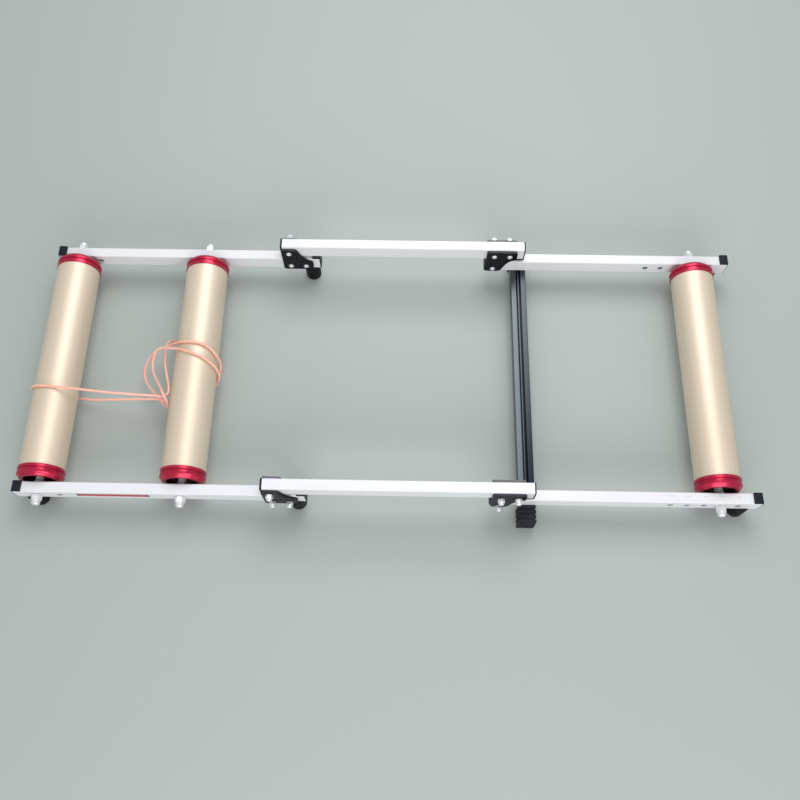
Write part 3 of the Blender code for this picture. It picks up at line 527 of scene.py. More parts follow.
def hexed(shell, across, low, high):
    """A turned shell with its points between two stations pulled in to a hexagon's sides."""
    points, faces = shell
    pulled = []
    for x, y, z in points:
        radius = math.hypot(x, z)
        if low <= y <= high and radius > 0:
            angle = math.atan2(x, z) % (math.pi / 3) - math.pi / 6
            limit = across / 2 / math.cos(angle)
            share = min(1.0, limit / radius)
            x, z = x * share, z * share
        pulled.append((x, y, z))
    return pulled, faces


def dome_nut(seat, across, hexagon, height, bore):
    """A hexagon nut with chamfered corners, a washer face and a round dome, its seat at y seat."""
    corner = across / 2 / math.cos(math.pi / 6)
    flat = across / 2
    dome = across * 0.45
    tip = seat + height
    round_start = tip - 0.8 * dome
    profile = [
        (0, seat), (bore, seat), (flat * 0.96, seat), (flat * 0.99, seat + 0.4), (corner, seat + 1.0),
        (corner, seat + hexagon - 1.0), (flat * 0.98, seat + hexagon), (dome + 0.2, seat + hexagon),
        (dome, round_start),
    ]
    for turn in range(1, 8):
        angle = turn / 8 * math.pi / 2
        around, along = math.cos(angle) ** 0.7, math.sin(angle) ** 0.7
        profile.append((dome * around, round_start + (tip - round_start) * along))
    profile.append((0, tip))
    return hexed(turned(profile, NUT_STEPS), across, seat + 0.1, seat + hexagon + 0.1)


def button_head(seat, height, radius):
    """A button head that stands inward of its seat, with a socket in its middle."""
    end = seat - height
    profile = [(0, seat), (radius, seat), (radius, seat - 0.4)]
    for turn in range(1, 7):
        angle = turn / 6 * math.pi / 2
        around = radius * (0.62 + 0.38 * math.cos(angle))
        profile.append((around, seat - 0.4 - (height - 0.4) * math.sin(angle)))
    socket = radius * 0.36
    profile += [(radius * 0.42, end), (socket, end + 0.3), (socket, end + 1.4), (0, end + 1.4)]
    return turned(profile, HEAD_STEPS)


def sockets_of(tree, wanted):
    """Makes a tree's named inputs and its output. Returns the group's input and output nodes."""
    for name, kind, value in wanted:
        socket = tree.interface.new_socket(name, in_out="INPUT", socket_type=kind)
        if value is not None:
            socket.default_value = value
    tree.interface.new_socket("Geometry", in_out="OUTPUT", socket_type="NodeSocketGeometry")
    return tree.nodes.new("NodeGroupInput"), tree.nodes.new("NodeGroupOutput")


def step(tree, kind, settings, values):
    """A node of a geometry tree, from its type, its settings, and the values or links of its inputs."""
    made = tree.nodes.new(kind)
    for name, setting in settings.items():
        setattr(made, name, setting)
    for name, value in values.items():
        if isinstance(value, bpy.types.NodeSocket):
            tree.links.new(value, made.inputs[name])
        else:
            made.inputs[name].default_value = value
    return made


def end_tree(tree, geometry, given, result):
    """Ends a tree with its instances made real and its finish set."""
    real = step(tree, "GeometryNodeRealizeInstances", {}, {"Geometry": geometry})
    coated = step(tree, "GeometryNodeSetMaterial", {}, {
        "Geometry": real.outputs["Geometry"], "Material": given.outputs["Finish"],
    })
    tree.links.new(coated.outputs["Geometry"], result.inputs["Geometry"])
    return tree


def fastener_tree():
    """Sets one piece on every point, turned to its side of the frame and by a chance part of a turn."""
    tree = bpy.data.node_groups.new("fasteners", "GeometryNodeTree")
    given, result = sockets_of(tree, (
        ("Geometry", "NodeSocketGeometry", None),
        ("Piece", "NodeSocketObject", None),
        ("Largest Turn", "NodeSocketFloat", math.pi / 3),
        ("Seed", "NodeSocketInt", 3),
        ("Finish", "NodeSocketMaterial", None),
    ))
    side = step(tree, "GeometryNodeInputNamedAttribute", {"data_type": "FLOAT"}, {"Name": "side_turn"})
    chance = step(tree, "FunctionNodeRandomValue", {"data_type": "FLOAT"}, {"Seed": given.outputs["Seed"]})
    tree.links.new(given.outputs["Largest Turn"], chance.inputs[3])
    turn = step(tree, "ShaderNodeCombineXYZ", {}, {"Y": chance.outputs[1], "Z": side.outputs["Attribute"]})
    shape = step(tree, "GeometryNodeObjectInfo", {}, {"Object": given.outputs["Piece"]})
    placed = step(tree, "GeometryNodeInstanceOnPoints", {}, {
        "Points": given.outputs["Geometry"],
        "Instance": shape.outputs["Geometry"],
        "Rotation": turn.outputs["Vector"],
    })
    return end_tree(tree, placed.outputs["Instances"], given, result)


def made_by(tree, base, inputs):
    """The plain mesh that a geometry tree makes from a base mesh, its inputs set by identifier."""
    work = bpy.data.objects.new("work", base)
    scene.collection.objects.link(work)
    nodes = work.modifiers.new("made", "NODES")
    nodes.node_group = tree
    for socket in tree.interface.items_tree:
        if socket.in_out == "INPUT" and socket.name in inputs:
            nodes[socket.identifier] = inputs[socket.name]
    result = evaluated(work)
    bpy.data.objects.remove(work)
    return result


fasteners = fastener_tree()


def set_out(shells, stations, look, seed):
    """One mesh of the shells' piece repeated at (x, z, side) stations."""
    pattern = bpy.data.objects.new("pattern", finished(mesh_of(shells), sharp=28))
    scene.collection.objects.link(pattern)
    base = bpy.data.meshes.new("stations")
    base.from_pydata([(x * MM, 0, z * MM) for x, z, side in stations], [], [])
    turns = base.attributes.new("side_turn", "FLOAT", "POINT")
    turns.data.foreach_set("value", [0.0 if side > 0 else math.pi for x, z, side in stations])
    mesh = made_by(fasteners, base, {"Piece": pattern, "Seed": seed, "Finish": look})
    bpy.data.objects.remove(pattern)
    return mesh


# Bright zinc plate: blue-white, cloudy, with fine scratches
zinc, shade, shader = finish("bright_zinc", {"Metallic": 0.7})
clouds = shade.grain(0.005, detail=4.0)
colour = clouds.colour((0.93, 0.94, 0.95), (0.78, 0.80, 0.83))
scratches = shade.grain(0.0012, (1, 0.15, 1), 4.0)
vary(shader, colour=colour, roughness=0.2 + 0.2 * clouds, normal=shade.relief(scratches, 0.00004, 0.5))

# The shank reaches a little way into the head and the nut
bolt = [
    button_head(HEAD_SEAT, HEAD_HEIGHT, HEAD_RADIUS),
    turned(solid_rod(BOLT_RADIUS, HEAD_SEAT - 0.6, NUT_SEAT + 1), BOLT_STEPS),
    dome_nut(NUT_SEAT, NUT_ACROSS, NUT_HEXAGON, NUT_HEIGHT, BOLT_RADIUS),
]
for hinge, body, pivot_x, own, other in (
    ("rear", "rear_frame", -PIVOT, LOW_LEVEL, HIGH_LEVEL),
    ("front", "middle_frame", PIVOT, HIGH_LEVEL, LOW_LEVEL),
):
    fixing = [(pivot_x + k * BOLT_PITCH, own, side) for k in (0, 1) for name, side in SIDES]
    plates = [f"{hinge}_hinge_plate_{name}_outer" for name, side in SIDES]
    pins = [f"{hinge}_pivot_pin_{name}" for name, side in SIDES]
    turning = [(pivot_x, other, side) for name, side in SIDES]
    piece(f"{hinge}_fixing_bolts", set_out(bolt, fixing, zinc, seed=5), zinc, body, plates)
    piece(f"{hinge}_pivot_bolts", set_out(bolt, turning, zinc, seed=8), zinc, body, pins)

# Drums: aluminium tube, 80 mm across, drawn and anodised champagne with a satin sheen. Turned end caps,
# anodised red, are pressed into both ends. Each has a grooved rim, a stepped nose and a dish that holds
# the bearing.
DRUM_RADIUS = 40
DRUM_WALL = 2
TUBE_END = 207
CAP_RIM = 41.5
CAP_START = 207.3
CAP_END = 228.4
DISH_RADIUS = 28.8
DRUM_STEPS = 144
DRUMS = (("rear", -626), ("centre", -368), ("front", 596))

# Satin champagne anodising with faint drawing lines along the tube and slightly cloudy colour
champagne_finish, shade, shader = finish("champagne_anodised", {
    "Metallic": 0.58,
    "Coat Weight": 0.7,
    "Coat Roughness": 0.42,
})
lines = shade.grain(0.0016, (1, 0.012, 1))
clouds = shade.grain(0.06, (1, 0.5, 1))
base = clouds.colour((0.78, 0.66, 0.52), (0.73, 0.59, 0.44))
colour = (0.35 * lines).colour(base, (0.86, 0.76, 0.62))
rough = 0.48 + 0.10 * lines + 0.05 * clouds
vary(shader, colour=colour, roughness=rough, normal=shade.relief(lines, 0.00003, 0.35))

# Deep red anodising on a turned rim: fine turning rings, a little wear, and painted shade that darkens the
# dish
red, shade, shader = finish("crimson_anodised", {
    "Metallic": 0.7,
    "Coat Weight": 0.3,
    "Coat Roughness": 0.2,
})
rings = shade.grain(0.0008, (0.02, 1, 0.02), 2.0)
clouds = shade.grain(0.014)
bright = clouds.colour((0.58, 0.014, 0.065), (0.45, 0.008, 0.042))
painted_dish_shade = shade.node("ShaderNodeAttribute", {"attribute_name": "painted_dish_shade"}, {}, "Fac")
colour = painted_dish_shade.colour(bright, (0.05, 0.003, 0.008))
vary(shader, colour=colour, roughness=0.27 + 0.12 * clouds, normal=shade.relief(rings, 0.00006, 0.6))

tube_profile = [
    (DRUM_RADIUS - DRUM_WALL, -TUBE_END), (DRUM_RADIUS - 0.4, -TUBE_END), (DRUM_RADIUS, -TUBE_END + 0.4),
    (DRUM_RADIUS, TUBE_END - 0.4), (DRUM_RADIUS - 0.4, TUBE_END), (DRUM_RADIUS - DRUM_WALL, TUBE_END),
]
# Radius and distance from the drum's middle, from the spigot over the rim and nose into the dish and bore
cap_profile = [
    (38, 190), (37.7, CAP_START), (CAP_RIM - 0.5, CAP_START), (CAP_RIM, CAP_START + 0.5),
    (CAP_RIM, 212.0), (CAP_RIM - 0.7, 212.7), (CAP_RIM - 2.9, 213.6), (CAP_RIM - 2.9, 216.6),
    (CAP_RIM - 0.9, 217.7), (CAP_RIM, 218.4), (CAP_RIM, 221.0), (CAP_RIM - 0.4, 222.2),
    (CAP_RIM - 1.9, 224.1), (CAP_RIM - 2.5, 224.3), (CAP_RIM - 4.0, 225.9), (CAP_RIM - 5.0, 227.4),
    (CAP_RIM - 6.2, CAP_END), (DISH_RADIUS + 0.7, CAP_END), (DISH_RADIUS - 0.3, CAP_END - 0.8),
    (DISH_RADIUS - 1.2, 217.8), (DISH_RADIUS - 2.0, 217.0), (16.5, 217.0), (16.0, 217.4), (13.9, 217.4),
    (13.3, 216.8), (13.3, 208.3), (10, 208.3), (10, 205.3), (35.7, 205.3), (35.7, 190),
]


def mirrored(profile, side):
    """A profile for the left or the right end."""
    return [(radius, side * y) for radius, y in profile]


for drum, x in DRUMS:
    tube = finished(mesh_of([turned(tube_profile, DRUM_STEPS, x, LOW_LEVEL)]))
    body = f"{drum}_drum"
    piece(f"{drum}_roller_tube", tube, champagne_finish, body, [f"{drum}_drum_tube"])
    for side_name, side in SIDES:
        cap = finished(mesh_of([turned(mirrored(cap_profile, side), DRUM_STEPS, x, LOW_LEVEL)]), sharp=30)
        # Points inside the dish's rim get the painted shade
        radii = [math.hypot(point.co.x / MM - x, point.co.z / MM - LOW_LEVEL) for point in cap.vertices]
        painted_shade_spots = cap.attributes.new("painted_dish_shade", "FLOAT", "POINT")
        painted_shade_spots.data.foreach_set("value", [float(radius < DISH_RADIUS) for radius in radii])
        node = f"{drum}_drum_cap_{side_name}"
        piece(f"{drum}_red_cap_{side_name}", cap, red, body, [node])

# Bearings: a sealed ball bearing, 26 mm across and 8 mm wide, is pressed into each cap. Its outer ring is
# ground steel and turns with the drum. A black rubber seal closes the gap to the inner ring.
BEARING_OUTER = 13
SEAL_OUTER = 11.1
SEAL_INNER = 7.6
BEARING_START = 208.6
BEARING_END = 216.3
BEARING_STEPS = 72

# Ground bearing steel with fine rings round the bore
bearing_steel, shade, shader = finish("ground_steel", {"Metallic": 1.0})
rings = shade.grain(0.0006, (1, 0.3, 1), 2.0)
clouds = shade.grain(0.006)
colour = clouds.colour((0.66, 0.67, 0.69), (0.50, 0.51, 0.54))
vary(shader, colour=colour, roughness=0.22 + 0.16 * clouds, normal=shade.relief(rings, 0.00003, 0.5))

# Black rubber, matt, with a fine mould grain
seal, shade, shader = finish("seal_rubber", {})
grain = shade.grain(0.0007, detail=2.0)
colour = grain.colour((0.012, 0.012, 0.013), (0.030, 0.030, 0.032))
vary(shader, colour=colour, roughness=0.6 + 0.15 * grain, normal=shade.relief(grain, 0.00006, 0.6))

race_profile = [
    (BEARING_OUTER, BEARING_START), (BEARING_OUTER, BEARING_END - 0.4), (BEARING_OUTER - 0.4, BEARING_END),
    (SEAL_OUTER + 0.3, BEARING_END), (SEAL_OUTER, BEARING_END - 0.3), (SEAL_OUTER, BEARING_START),
]
seal_profile = [
    (SEAL_OUTER, BEARING_START + 0.2), (SEAL_OUTER, BEARING_END - 0.7),
    (SEAL_OUTER - 0.9, BEARING_END - 0.25), (SEAL_INNER + 1.0, BEARING_END - 0.25),
    (SEAL_INNER + 0.2, BEARING_END - 0.6), (SEAL_INNER, BEARING_END - 1.0),
    (SEAL_INNER, BEARING_START + 0.2),
]
for drum, x in DRUMS:
    for side_name, side in SIDES:
        node = f"{drum}_drum_bearing_{side_name}"
        for part, profile, look in (("ring", race_profile, bearing_steel), ("seal", seal_profile, seal)):
            ring = finished(mesh_of([turned(mirrored(profile, side), BEARING_STEPS, x, LOW_LEVEL)]))
            name = f"{drum}_bearing_{part}_{side_name}"
            piece(name, ring, look, f"{drum}_drum", [node])

# Axles: plain 10 mm steel rods that don't turn. White nylon spacers and zinc lock nuts inside the rails,
# and zinc dome nuts outside them, clamp each rod to its two rails.
AXLE_RADIUS = 5
AXLE_END = 256
SPACER_RADIUS = 7
SPACER_START = 208.8
LOCK_NUT_ACROSS = 17
LOCK_NUT_HEIGHT = 6
LOCK_SEAT = 233.7
END_NUT_SEAT = 254.3
END_NUT_HEXAGON = 11.5
END_NUT_HEIGHT = 20
AXLE_BODIES = {"rear": "rear_frame", "centre": "rear_frame", "front": "front_frame"}

# Plain turned steel: fine rings and a slightly brown, oily cloudiness
steel, shade, shader = finish("turned_steel", {"Metallic": 1.0})
rings = shade.grain(0.0005, (0.05, 1, 0.05), 2.0)
clouds = shade.grain(0.008)
colour = clouds.colour((0.74, 0.74, 0.75), (0.56, 0.55, 0.54))
vary(shader, colour=colour, roughness=0.34 + 0.2 * clouds, normal=shade.relief(rings, 0.00004, 0.6))

# Natural white nylon, a little yellowed and greasy by the bearings
nylon, shade, shader = finish("white_nylon", {"Subsurface Weight": 0.3, "Subsurface Scale": 0.002})
clouds = shade.grain(0.006)
rings = shade.grain(0.0007, (0.05, 1, 0.05), 2.0)
colour = clouds.colour((0.92, 0.91, 0.90), (0.84, 0.82, 0.80))
vary(shader, colour=colour, roughness=0.35 + 0.2 * clouds, normal=shade.relief(rings, 0.00004, 0.5))

lock_start = LOCK_SEAT - LOCK_NUT_HEIGHT
spacer = [
    (AXLE_RADIUS, SPACER_START), (SPACER_RADIUS - 0.2, SPACER_START), (SPACER_RADIUS, SPACER_START + 0.2),
    (SPACER_RADIUS, lock_start - 0.2), (AXLE_RADIUS, lock_start - 0.2),
]
lock_face = LOCK_NUT_ACROSS * 0.48
lock_corner = LOCK_NUT_ACROSS / 2 / math.cos(math.pi / 6)
lock_profile = [
    (AXLE_RADIUS, lock_start), (lock_face, lock_start), (lock_corner, lock_start + 1),
    (lock_corner, LOCK_SEAT - 1), (lock_face, LOCK_SEAT), (AXLE_RADIUS, LOCK_SEAT),
]
lock_nut = hexed(turned(lock_profile, NUT_STEPS), LOCK_NUT_ACROSS, lock_start - 0.1, LOCK_SEAT + 0.1)
end_nut = dome_nut(END_NUT_SEAT, LOCK_NUT_ACROSS, END_NUT_HEXAGON, END_NUT_HEIGHT, AXLE_RADIUS)
for drum, x in DRUMS:
    node = f"{drum}_drum_axle"
    body = AXLE_BODIES[drum]
    rod = turned(solid_rod(AXLE_RADIUS, -AXLE_END, AXLE_END), ROD_STEPS, x, LOW_LEVEL)
    collars = [turned(mirrored(spacer, side), ROD_STEPS, x, LOW_LEVEL) for name, side in SIDES]
    piece(f"{drum}_axle_rod", finished(mesh_of([rod])), steel, body, [node])
    piece(f"{drum}_axle_spacers", finished(mesh_of(collars)), nylon, body, [node])
    ends = [(x, LOW_LEVEL, side) for name, side in SIDES]
    nuts = set_out([lock_nut, end_nut], ends, zinc, seed=11)
    piece(f"{drum}_axle_nuts", nuts, zinc, body, [node])

# Feet: black rubber buffers, 30 mm across and 40 mm high, moulded on studs that screw up into the rails.
# Two shallow grooves run round each, and the sole is hollowed in its middle.
FOOT_RADIUS = 15
FOOT_TOP = 39.7
FOOT_STEPS = 64
FEET = (("rear", -640, "rear_frame"), ("hinge", -162, "rear_frame"), ("front", 640, "front_frame"))

# Matt black rubber, dusty grey at the mould grain, and greyed by a painted highlight where it faces up
rubber, shade, shader = finish("foot_rubber", {"Specular IOR Level": 0.12})
grain = shade.grain(0.0011, detail=4.0)
dust = shade.grain(0.009, detail=4.0).between(0.45, 0.7)
# Dust, and a painted highlight on the faces that look up, such as the ribs' tops
dust_and_top_highlight = 0.25 * dust + 0.6 * shade.upward(0.3, 0.9)
colour = dust_and_top_highlight.colour((0.0030, 0.0032, 0.0042), (0.036, 0.038, 0.043))
vary(shader, colour=colour, roughness=0.42 + 0.25 * dust, normal=shade.relief(grain, 0.00015, 0.7))

# Radius and height, from the flat top down the grooved side to the hollow in the sole
foot_profile = [
    (0, FOOT_TOP), (13.6, FOOT_TOP), (14.6, FOOT_TOP - 0.4), (FOOT_RADIUS, FOOT_TOP - 1.4),
    (FOOT_RADIUS, 34.5), (14.5, 34.1), (14.5, 33.3), (FOOT_RADIUS, 32.9), (15.4, 20), (15.2, 7),
    (14.7, 6.6), (14.7, 5.8), (15.1, 5.4), (14.9, 1.2), (14.0, 0.2), (13.2, 0), (7.2, 0), (6.4, 0.6),
    (6.2, 6), (0, 6),
]


def standing(profile, steps, x, y):
    """A shell turned about an upright line at x and y, from a profile of (radius, height)."""
    points, faces = turned(profile, steps)
    return [(x + across, y + along, height) for across, height, along in points], faces


for foot, x, body in FEET:
    for side_name, side in SIDES:
        mesh = finished(mesh_of([standing(foot_profile, FOOT_STEPS, x, side * RAIL_MIDDLE)]), sharp=30)
        piece(f"{foot}_buffer_{side_name}", mesh, rubber, body, [f"{foot}_foot_{side_name}"])

# Crossbar: a black anodised aluminium extrusion, 30 mm wide and 20 mm high, with a T-slot in its top.
# Bolts through the front rails' bottom walls hold nuts in the slot, and a ribbed rubber foot plugs each
# end.
CROSSBAR_X = 254
CROSSBAR_TOP = 39.7
CROSSBAR_WIDTH = 30
CROSSBAR_HEIGHT = 20
CROSSBAR_END = 254
SLOT_MOUTH = 4.6
SLOT_LIP = 2
SLOT_INSIDE = 6
SLOT_DEPTH = 14
RIDGE = 1.7
RIDGE_DEPTH = 2.6
FOOT_START = 254.3
END_FOOT_WIDTH = 31.6
END_FOOT_HEIGHT = 43.5
RIB = 5
RIB_GAP = 4
RIBS = 4
RIB_DEPTH = 1.6
RIB_EDGE = 0.9
STUD_STEPS = 32

# Black anodising: die lines along the bar, and a painted reflection that makes the front land darker,
# darkest at the near end
anodised_black, shade, shader = finish("black_anodised", {"Metallic": 0.9})
lines = shade.grain(0.0011, (1, 0.006, 1))
clouds = shade.grain(0.03, (1, 0.3, 1))
front = shade.part("X").between((CROSSBAR_X - 4) * MM, (CROSSBAR_X + 2) * MM)
near = 1 - shade.part("Y").between(-0.24, 0.24)
base = clouds.colour((0.086, 0.100, 0.110), (0.064, 0.076, 0.084))
# The front land's painted reflection: dim at the far end, near black at the near end
front_land_reflection = near.colour((0.050, 0.058, 0.066), (0.008, 0.011, 0.016))
drawn = 0.4 * lines * (1 - 0.8 * (front * near))
colour = drawn.colour(front.colour(base, front_land_reflection), (0.075, 0.085, 0.095))
vary(shader, colour=colour, roughness=0.24 + 0.14 * lines, normal=shade.relief(lines, 0.00004, 0.5))

half_bar = CROSSBAR_WIDTH / 2
half_slot = [
    (half_bar, 0), (SLOT_MOUTH, 0), (SLOT_MOUTH, -SLOT_LIP), (SLOT_INSIDE, -SLOT_LIP),
    (SLOT_INSIDE, -SLOT_DEPTH), (RIDGE, -SLOT_DEPTH), (RIDGE, -RIDGE_DEPTH),
]
slot_radii = [1.2, 0.5, 0.4, 0.3, 0.3, 0.3, 0.6]
bar_corners = [(-half_bar, -CROSSBAR_HEIGHT), (half_bar, -CROSSBAR_HEIGHT)] + half_slot
bar_corners += [(-x, z) for x, z in reversed(half_slot)]
bar_radii = [1, 1] + slot_radii + slot_radii[::-1]
section = [(CROSSBAR_X + x, CROSSBAR_TOP + z) for x, z in rounded(bar_corners, bar_radii, 3)]
bar = finished(mesh_of([slab(section, -CROSSBAR_END, CROSSBAR_END)]), sharp=50)
piece("slotted_bar", bar, anodised_black, "front_frame", ["crossbar"])


def row_of_boxes(tree, given, count, offset, size):
    """Boxes of one size at even stations along a line, from the tree's inputs of those names."""
    stations = step(tree, "GeometryNodeMeshLine", {"mode": "OFFSET"}, {
        "Count": given.outputs[count],
        "Start Location": given.outputs["Start"],
        "Offset": given.outputs[offset],
    })
    box = step(tree, "GeometryNodeMeshCube", {}, {"Size": given.outputs[size]})
    placed = step(tree, "GeometryNodeInstanceOnPoints", {}, {
        "Points": stations.outputs["Mesh"], "Instance": box.outputs["Mesh"],
    })
    return placed.outputs["Instances"]


def ribbed_foot_tree():
    """A core with square ribs round it, one behind the other along Y."""
    tree = bpy.data.node_groups.new("ribbed_foot", "GeometryNodeTree")
    given, result = sockets_of(tree, (
        ("Start", "NodeSocketVector", (0, 0, 0)),
        ("Step", "NodeSocketVector", (0, 0.009, 0)),
        ("Ribs", "NodeSocketInt", 4),
        ("Rib Size", "NodeSocketVector", (0.03, 0.005, 0.04)),
        ("Core Size", "NodeSocketVector", (0.027, 0.03, 0.037)),
        ("Core Place", "NodeSocketVector", (0, 0, 0)),
        ("Finish", "NodeSocketMaterial", None),
    ))
    ribs = row_of_boxes(tree, given, "Ribs", "Step", "Rib Size")
    core = step(tree, "GeometryNodeMeshCube", {}, {"Size": given.outputs["Core Size"]})
    moved = step(tree, "GeometryNodeTransform", {}, {
        "Geometry": core.outputs["Mesh"], "Translation": given.outputs["Core Place"],
    })
    both = tree.nodes.new("GeometryNodeJoinGeometry")
    tree.links.new(ribs, both.inputs["Geometry"])
    tree.links.new(moved.outputs["Geometry"], both.inputs["Geometry"])
    return end_tree(tree, both.outputs["Geometry"], given, result)


ribbed_foot = ribbed_foot_tree()
foot_length = RIBS * RIB + (RIBS - 1) * RIB_GAP
core_size = (END_FOOT_WIDTH - 2 * RIB_DEPTH, foot_length - 0.4, END_FOOT_HEIGHT - 2 * RIB_DEPTH)
foot_middle = END_FOOT_HEIGHT / 2
# Radius and height of a bolt: the nut in the slot, the shank, and the head in the rail
bolt_profile = [
    (0, 34.2), (5.5, 34.2), (5.5, 37.2), (3, 37.2), (3, 41.8), (5, 41.8), (5, 45.2), (4.4, 45.8),
    (0, 45.8),
]
for side_name, side in SIDES:
    mesh = made_by(ribbed_foot, bpy.data.meshes.new("none"), {
        "Start": (CROSSBAR_X * MM, side * (FOOT_START + RIB / 2) * MM, foot_middle * MM),
        "Step": (0.0, side * (RIB + RIB_GAP) * MM, 0.0),
        "Ribs": RIBS,
        "Rib Size": (END_FOOT_WIDTH * MM, RIB * MM, END_FOOT_HEIGHT * MM),
        "Core Size": tuple(size * MM for size in core_size),
        "Core Place": (CROSSBAR_X * MM, side * (FOOT_START + foot_length / 2) * MM, foot_middle * MM),
        "Finish": rubber,
    })
    foot = finished(mesh, edge=RIB_EDGE, steps=3)
    node = f"crossbar_foot_{side_name}"
    piece(f"ribbed_foot_{side_name}", foot, rubber, "front_frame", [node])
    stud = finished(mesh_of([standing(bolt_profile, STUD_STEPS, CROSSBAR_X, side * RAIL_MIDDLE)]))
    piece(f"slot_bolt_{side_name}", stud, zinc, "front_frame", [f"crossbar_bolt_{side_name}"])

# Drive belt: an endless round cord of clear orange urethane. It is stowed round the two rear drums, with
# a hitch of its own loops near the centre one. The route is in millimetres from the rear drum's middle.
BELT_RADIUS = 2.25
BELT_FACETS = 20
BELT_SPACING = 4.0
BELT_ROUTE = [
    (5.3, -60.5, 43.1), (-13.4, -59, 41.3), (-29, -56, 32.3), (-39.6, -53.5, 17.7), (-43.4, -52, -1.5),
    (-37.6, -50.5, -21.7), (-23, -49.5, -36.8), (-4.5, -49, -43.2), (25, -50, -41), (65, -57, -30),
    (105, -60, -19), (145, -63, -9), (173, -65, -2), (193, -66.5, 2), (204, -67.5, 1), (211, -69.5, -6),
    (215, -72, -15), (219.5, -75, -23), (228.5, -76, -33.2), (241.7, -67, -40.8), (256.5, -54, -43.4),
    (271.4, -41, -41.3), (284.7, -30, -34.2), (295.5, -22.5, -23), (301, -17.5, -12), (303, -13.5, -1.5),
    (301.8, -9, 10.5), (293.5, -3, 26.7), (279.2, 4, 38.6), (261, 10.5, 43.3), (243.2, 17, 40.8),
    (229, 24, 32.8), (214, 28, 26), (197, 33.5, 17), (181, 32, 8), (174.5, 17, 0), (174, -1, -5),
    (181.5, -18.5, -2), (191, -34, 6), (199.5, -48, 14), (205, -57.5, 20), (210, -67, 20), (214, -74, 13),
    (214, -78, 3), (210.5, -79, -7.5), (202, -71, -15.5), (190, -56, -18), (175, -41, -20), (161, -24, -24),
    (153, -5, -28), (153, 14, -26), (162, 27.5, -17), (178, 37.5, -4), (200, 39.5, 10), (221, 39.5, 24.5),
    (237.6, 36.5, 38.3), (255, 34, 43.3), (273.6, 31.5, 40.8), (289.4, 26, 31.7), (299, 17.5, 19),
    (303.5, 10.5, 4.5), (303, 0, -7.5), (299, -7, -19), (289.1, -6, -31.6), (275.7, 4, -40.2),
    (261.8, 17, -43.2), (249, 31, -42.5), (233, 48, -42), (218, 63, -39), (205, 71, -33), (196.5, 68, -24),
    (193, 56, -15), (193.5, 38, -7), (197, 16, -1), (202.5, -8, 4), (210.5, -33, 9), (215, -49.5, 13),
    (214.8, -58.5, 13), (207, -64, 11.5), (190, -64, 13), (155, -65.5, 21), (115, -66, 29),
    (75, -64.5, 35.5), (40, -62.5, 40.3),
]


def smooth_loop(route, spacing, samples=24):
    """Evenly spaced points on the smooth closed curve through the route's points."""
    fine = []
    count = len(route)
    for k in range(count):
        before, start, end, after = (route[(k + step) % count] for step in (-1, 0, 1, 2))
        first = math.sqrt(np.linalg.norm(start - before))
        second = first + math.sqrt(np.linalg.norm(end - start))
        third = second + math.sqrt(np.linalg.norm(after - end))
        for t in np.linspace(first, second, samples, endpoint=False):
            a = before + (start - before) * (t / first)
            b = start + (end - start) * ((t - first) / (second - first))
            c = end + (after - end) * ((t - second) / (third - second))
            d = a + (b - a) * (t / second)
            e = b + (c - b) * ((t - first) / (third - first))
            fine.append(d + (e - d) * ((t - first) / (second - first)))
    fine = np.array(fine + fine[:1])
    along = np.concatenate([[0.0], np.cumsum(np.linalg.norm(np.diff(fine, axis=0), axis=1))])
    stations = np.linspace(0.0, along[-1], round(along[-1] / spacing), endpoint=False)
    return np.stack([np.interp(stations, along, fine[:, axis]) for axis in range(3)], axis=1)


def belt_tree():
    """A round cord along a closed line of edges."""
    tree = bpy.data.node_groups.new("round_belt", "GeometryNodeTree")
    given, result = sockets_of(tree, (
        ("Geometry", "NodeSocketGeometry", None),
        ("Radius", "NodeSocketFloat", 0.0025),
        ("Facets", "NodeSocketInt", 16),
        ("Finish", "NodeSocketMaterial", None),
    ))
    line = step(tree, "GeometryNodeMeshToCurve", {}, {"Mesh": given.outputs["Geometry"]})
    ring = step(tree, "GeometryNodeCurvePrimitiveCircle", {}, {
        "Resolution": given.outputs["Facets"], "Radius": given.outputs["Radius"],
    })
    cord = step(tree, "GeometryNodeCurveToMesh", {}, {
        "Curve": line.outputs["Curve"], "Profile Curve": ring.outputs["Curve"],
    })
    return end_tree(tree, cord.outputs["Mesh"], given, result)


# Clear orange urethane: glossy, with light soaking through it and a dusting of lint
orange, shade, shader = finish("orange_urethane", {
    "Subsurface Weight": 0.6,
    "Subsurface Radius": (0.006, 0.004, 0.003),
    "Subsurface Scale": 0.6,
    "Coat Weight": 0.35,
    "Coat Roughness": 0.1,
})
clouds = shade.grain(0.02)
lint = shade.grain(0.0025, detail=4.0)
colour = clouds.colour((0.95, 0.55, 0.44), (0.93, 0.43, 0.33))
vary(shader, colour=colour, roughness=0.26 + 0.15 * lint, normal=shade.relief(lint, 0.00005, 0.4))

loop = smooth_loop(np.array(BELT_ROUTE, dtype=float), BELT_SPACING)
loop = (loop + np.array((DRUMS[0][1], 0, LOW_LEVEL))) * MM
line = bpy.data.meshes.new("line")
count = len(loop)
line.from_pydata([tuple(point) for point in loop], [(k, (k + 1) % count) for k in range(count)], [])
cord = made_by(belt_tree(), line, {"Radius": BELT_RADIUS * MM, "Facets": BELT_FACETS, "Finish": orange})
cord.shade_smooth()
piece("round_belt", cord, orange, "rear_frame", ["drive_belt"])

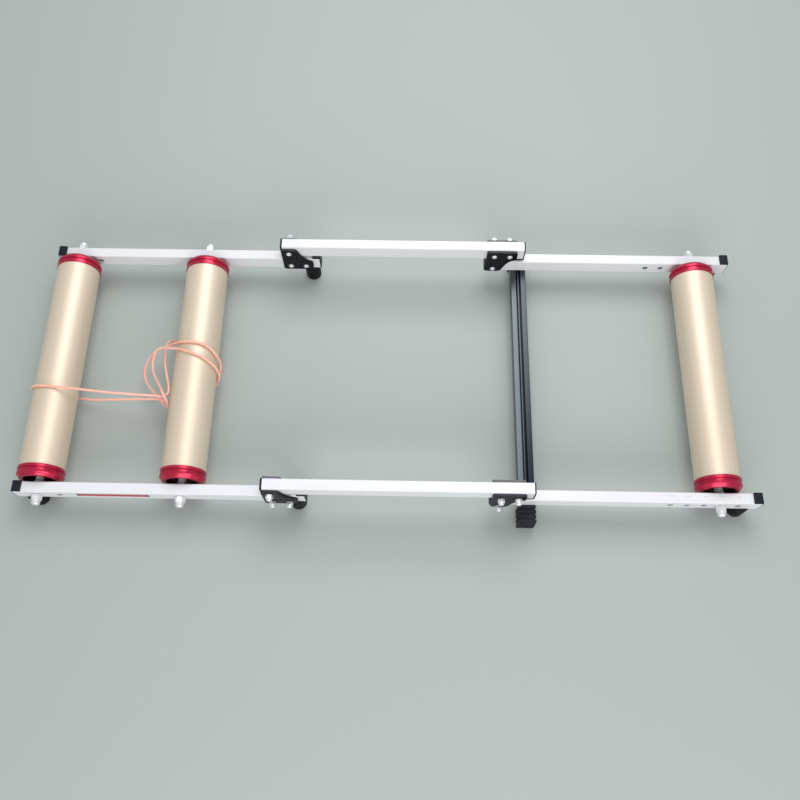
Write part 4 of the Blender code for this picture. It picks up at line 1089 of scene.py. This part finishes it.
# Marks: five grey ticks on the near front rail, one above each axle station, and a plain red line of
# vinyl tape with dark ends on the near rear rail. Both lie on the paint.
TICK_LENGTH = 9.0
TICK_WIDTH = 1.4
MARK_THICKNESS = 0.12
NEAR_FACE = -(RAIL_INSIDE + RAIL_WIDTH)
TICKS_MIDDLE = NEAR_FACE + RAIL_WIDTH * 0.62
TAPE_LOW = 52
TAPE_HIGH = 64.5
TAPE_CORNER = 0.8
TAPE_SUNK = 0.05


def tick_tree():
    """Evenly spaced thin marks along a line."""
    tree = bpy.data.node_groups.new("ticks", "GeometryNodeTree")
    given, result = sockets_of(tree, (
        ("Start", "NodeSocketVector", (0, 0, 0)),
        ("Pitch", "NodeSocketVector", (0.03, 0, 0)),
        ("Count", "NodeSocketInt", 5),
        ("Size", "NodeSocketVector", (0.009, 0.0014, 0.0001)),
        ("Finish", "NodeSocketMaterial", None),
    ))
    return end_tree(tree, row_of_boxes(tree, given, "Count", "Pitch", "Size"), given, result)


def print_ink(name, first, second):
    """Printed ink or vinyl, a little uneven."""
    look, shade, shader = finish(name, {})
    wear = shade.grain(0.004, detail=4.0)
    vary(shader, colour=wear.colour(first, second), roughness=0.4 + 0.2 * wear)
    return look


grey_ink = print_ink("grey_ink", (0.52, 0.52, 0.56), (0.66, 0.66, 0.70))
red_vinyl = print_ink("red_vinyl", (0.50, 0.075, 0.070), (0.42, 0.055, 0.055))
dark_vinyl = print_ink("dark_vinyl", (0.06, 0.05, 0.09), (0.10, 0.08, 0.12))
ticks_level = LOW_LEVEL + RAIL_HEIGHT / 2 + MARK_THICKNESS / 2
ticks = made_by(tick_tree(), bpy.data.meshes.new("none"), {
    "Start": (FRONT_HOLES[-1] * MM, TICKS_MIDDLE * MM, ticks_level * MM),
    "Pitch": (HOLE_PITCH * MM, 0.0, 0.0),
    "Count": len(FRONT_HOLES),
    "Size": (TICK_LENGTH * MM, TICK_WIDTH * MM, MARK_THICKNESS * MM),
    "Finish": grey_ink,
})
piece("station_ticks", ticks, grey_ink, "front_frame", ["front_rail_right"])
for name, start, end, look in (
    ("red_tape", -549, -428, red_vinyl),
    ("tape_end_first", -553.5, -549.1, dark_vinyl),
    ("tape_end_last", -427.9, -423.5, dark_vinyl),
):
    corners = [(start, TAPE_LOW), (end, TAPE_LOW), (end, TAPE_HIGH), (start, TAPE_HIGH)]
    outline = rounded(corners, [TAPE_CORNER] * 4, 4)
    strip = mesh_of([slab(outline, NEAR_FACE - MARK_THICKNESS, NEAR_FACE + TAPE_SUNK)])
    piece(name, strip, look, "rear_frame", ["rear_rail_right"])
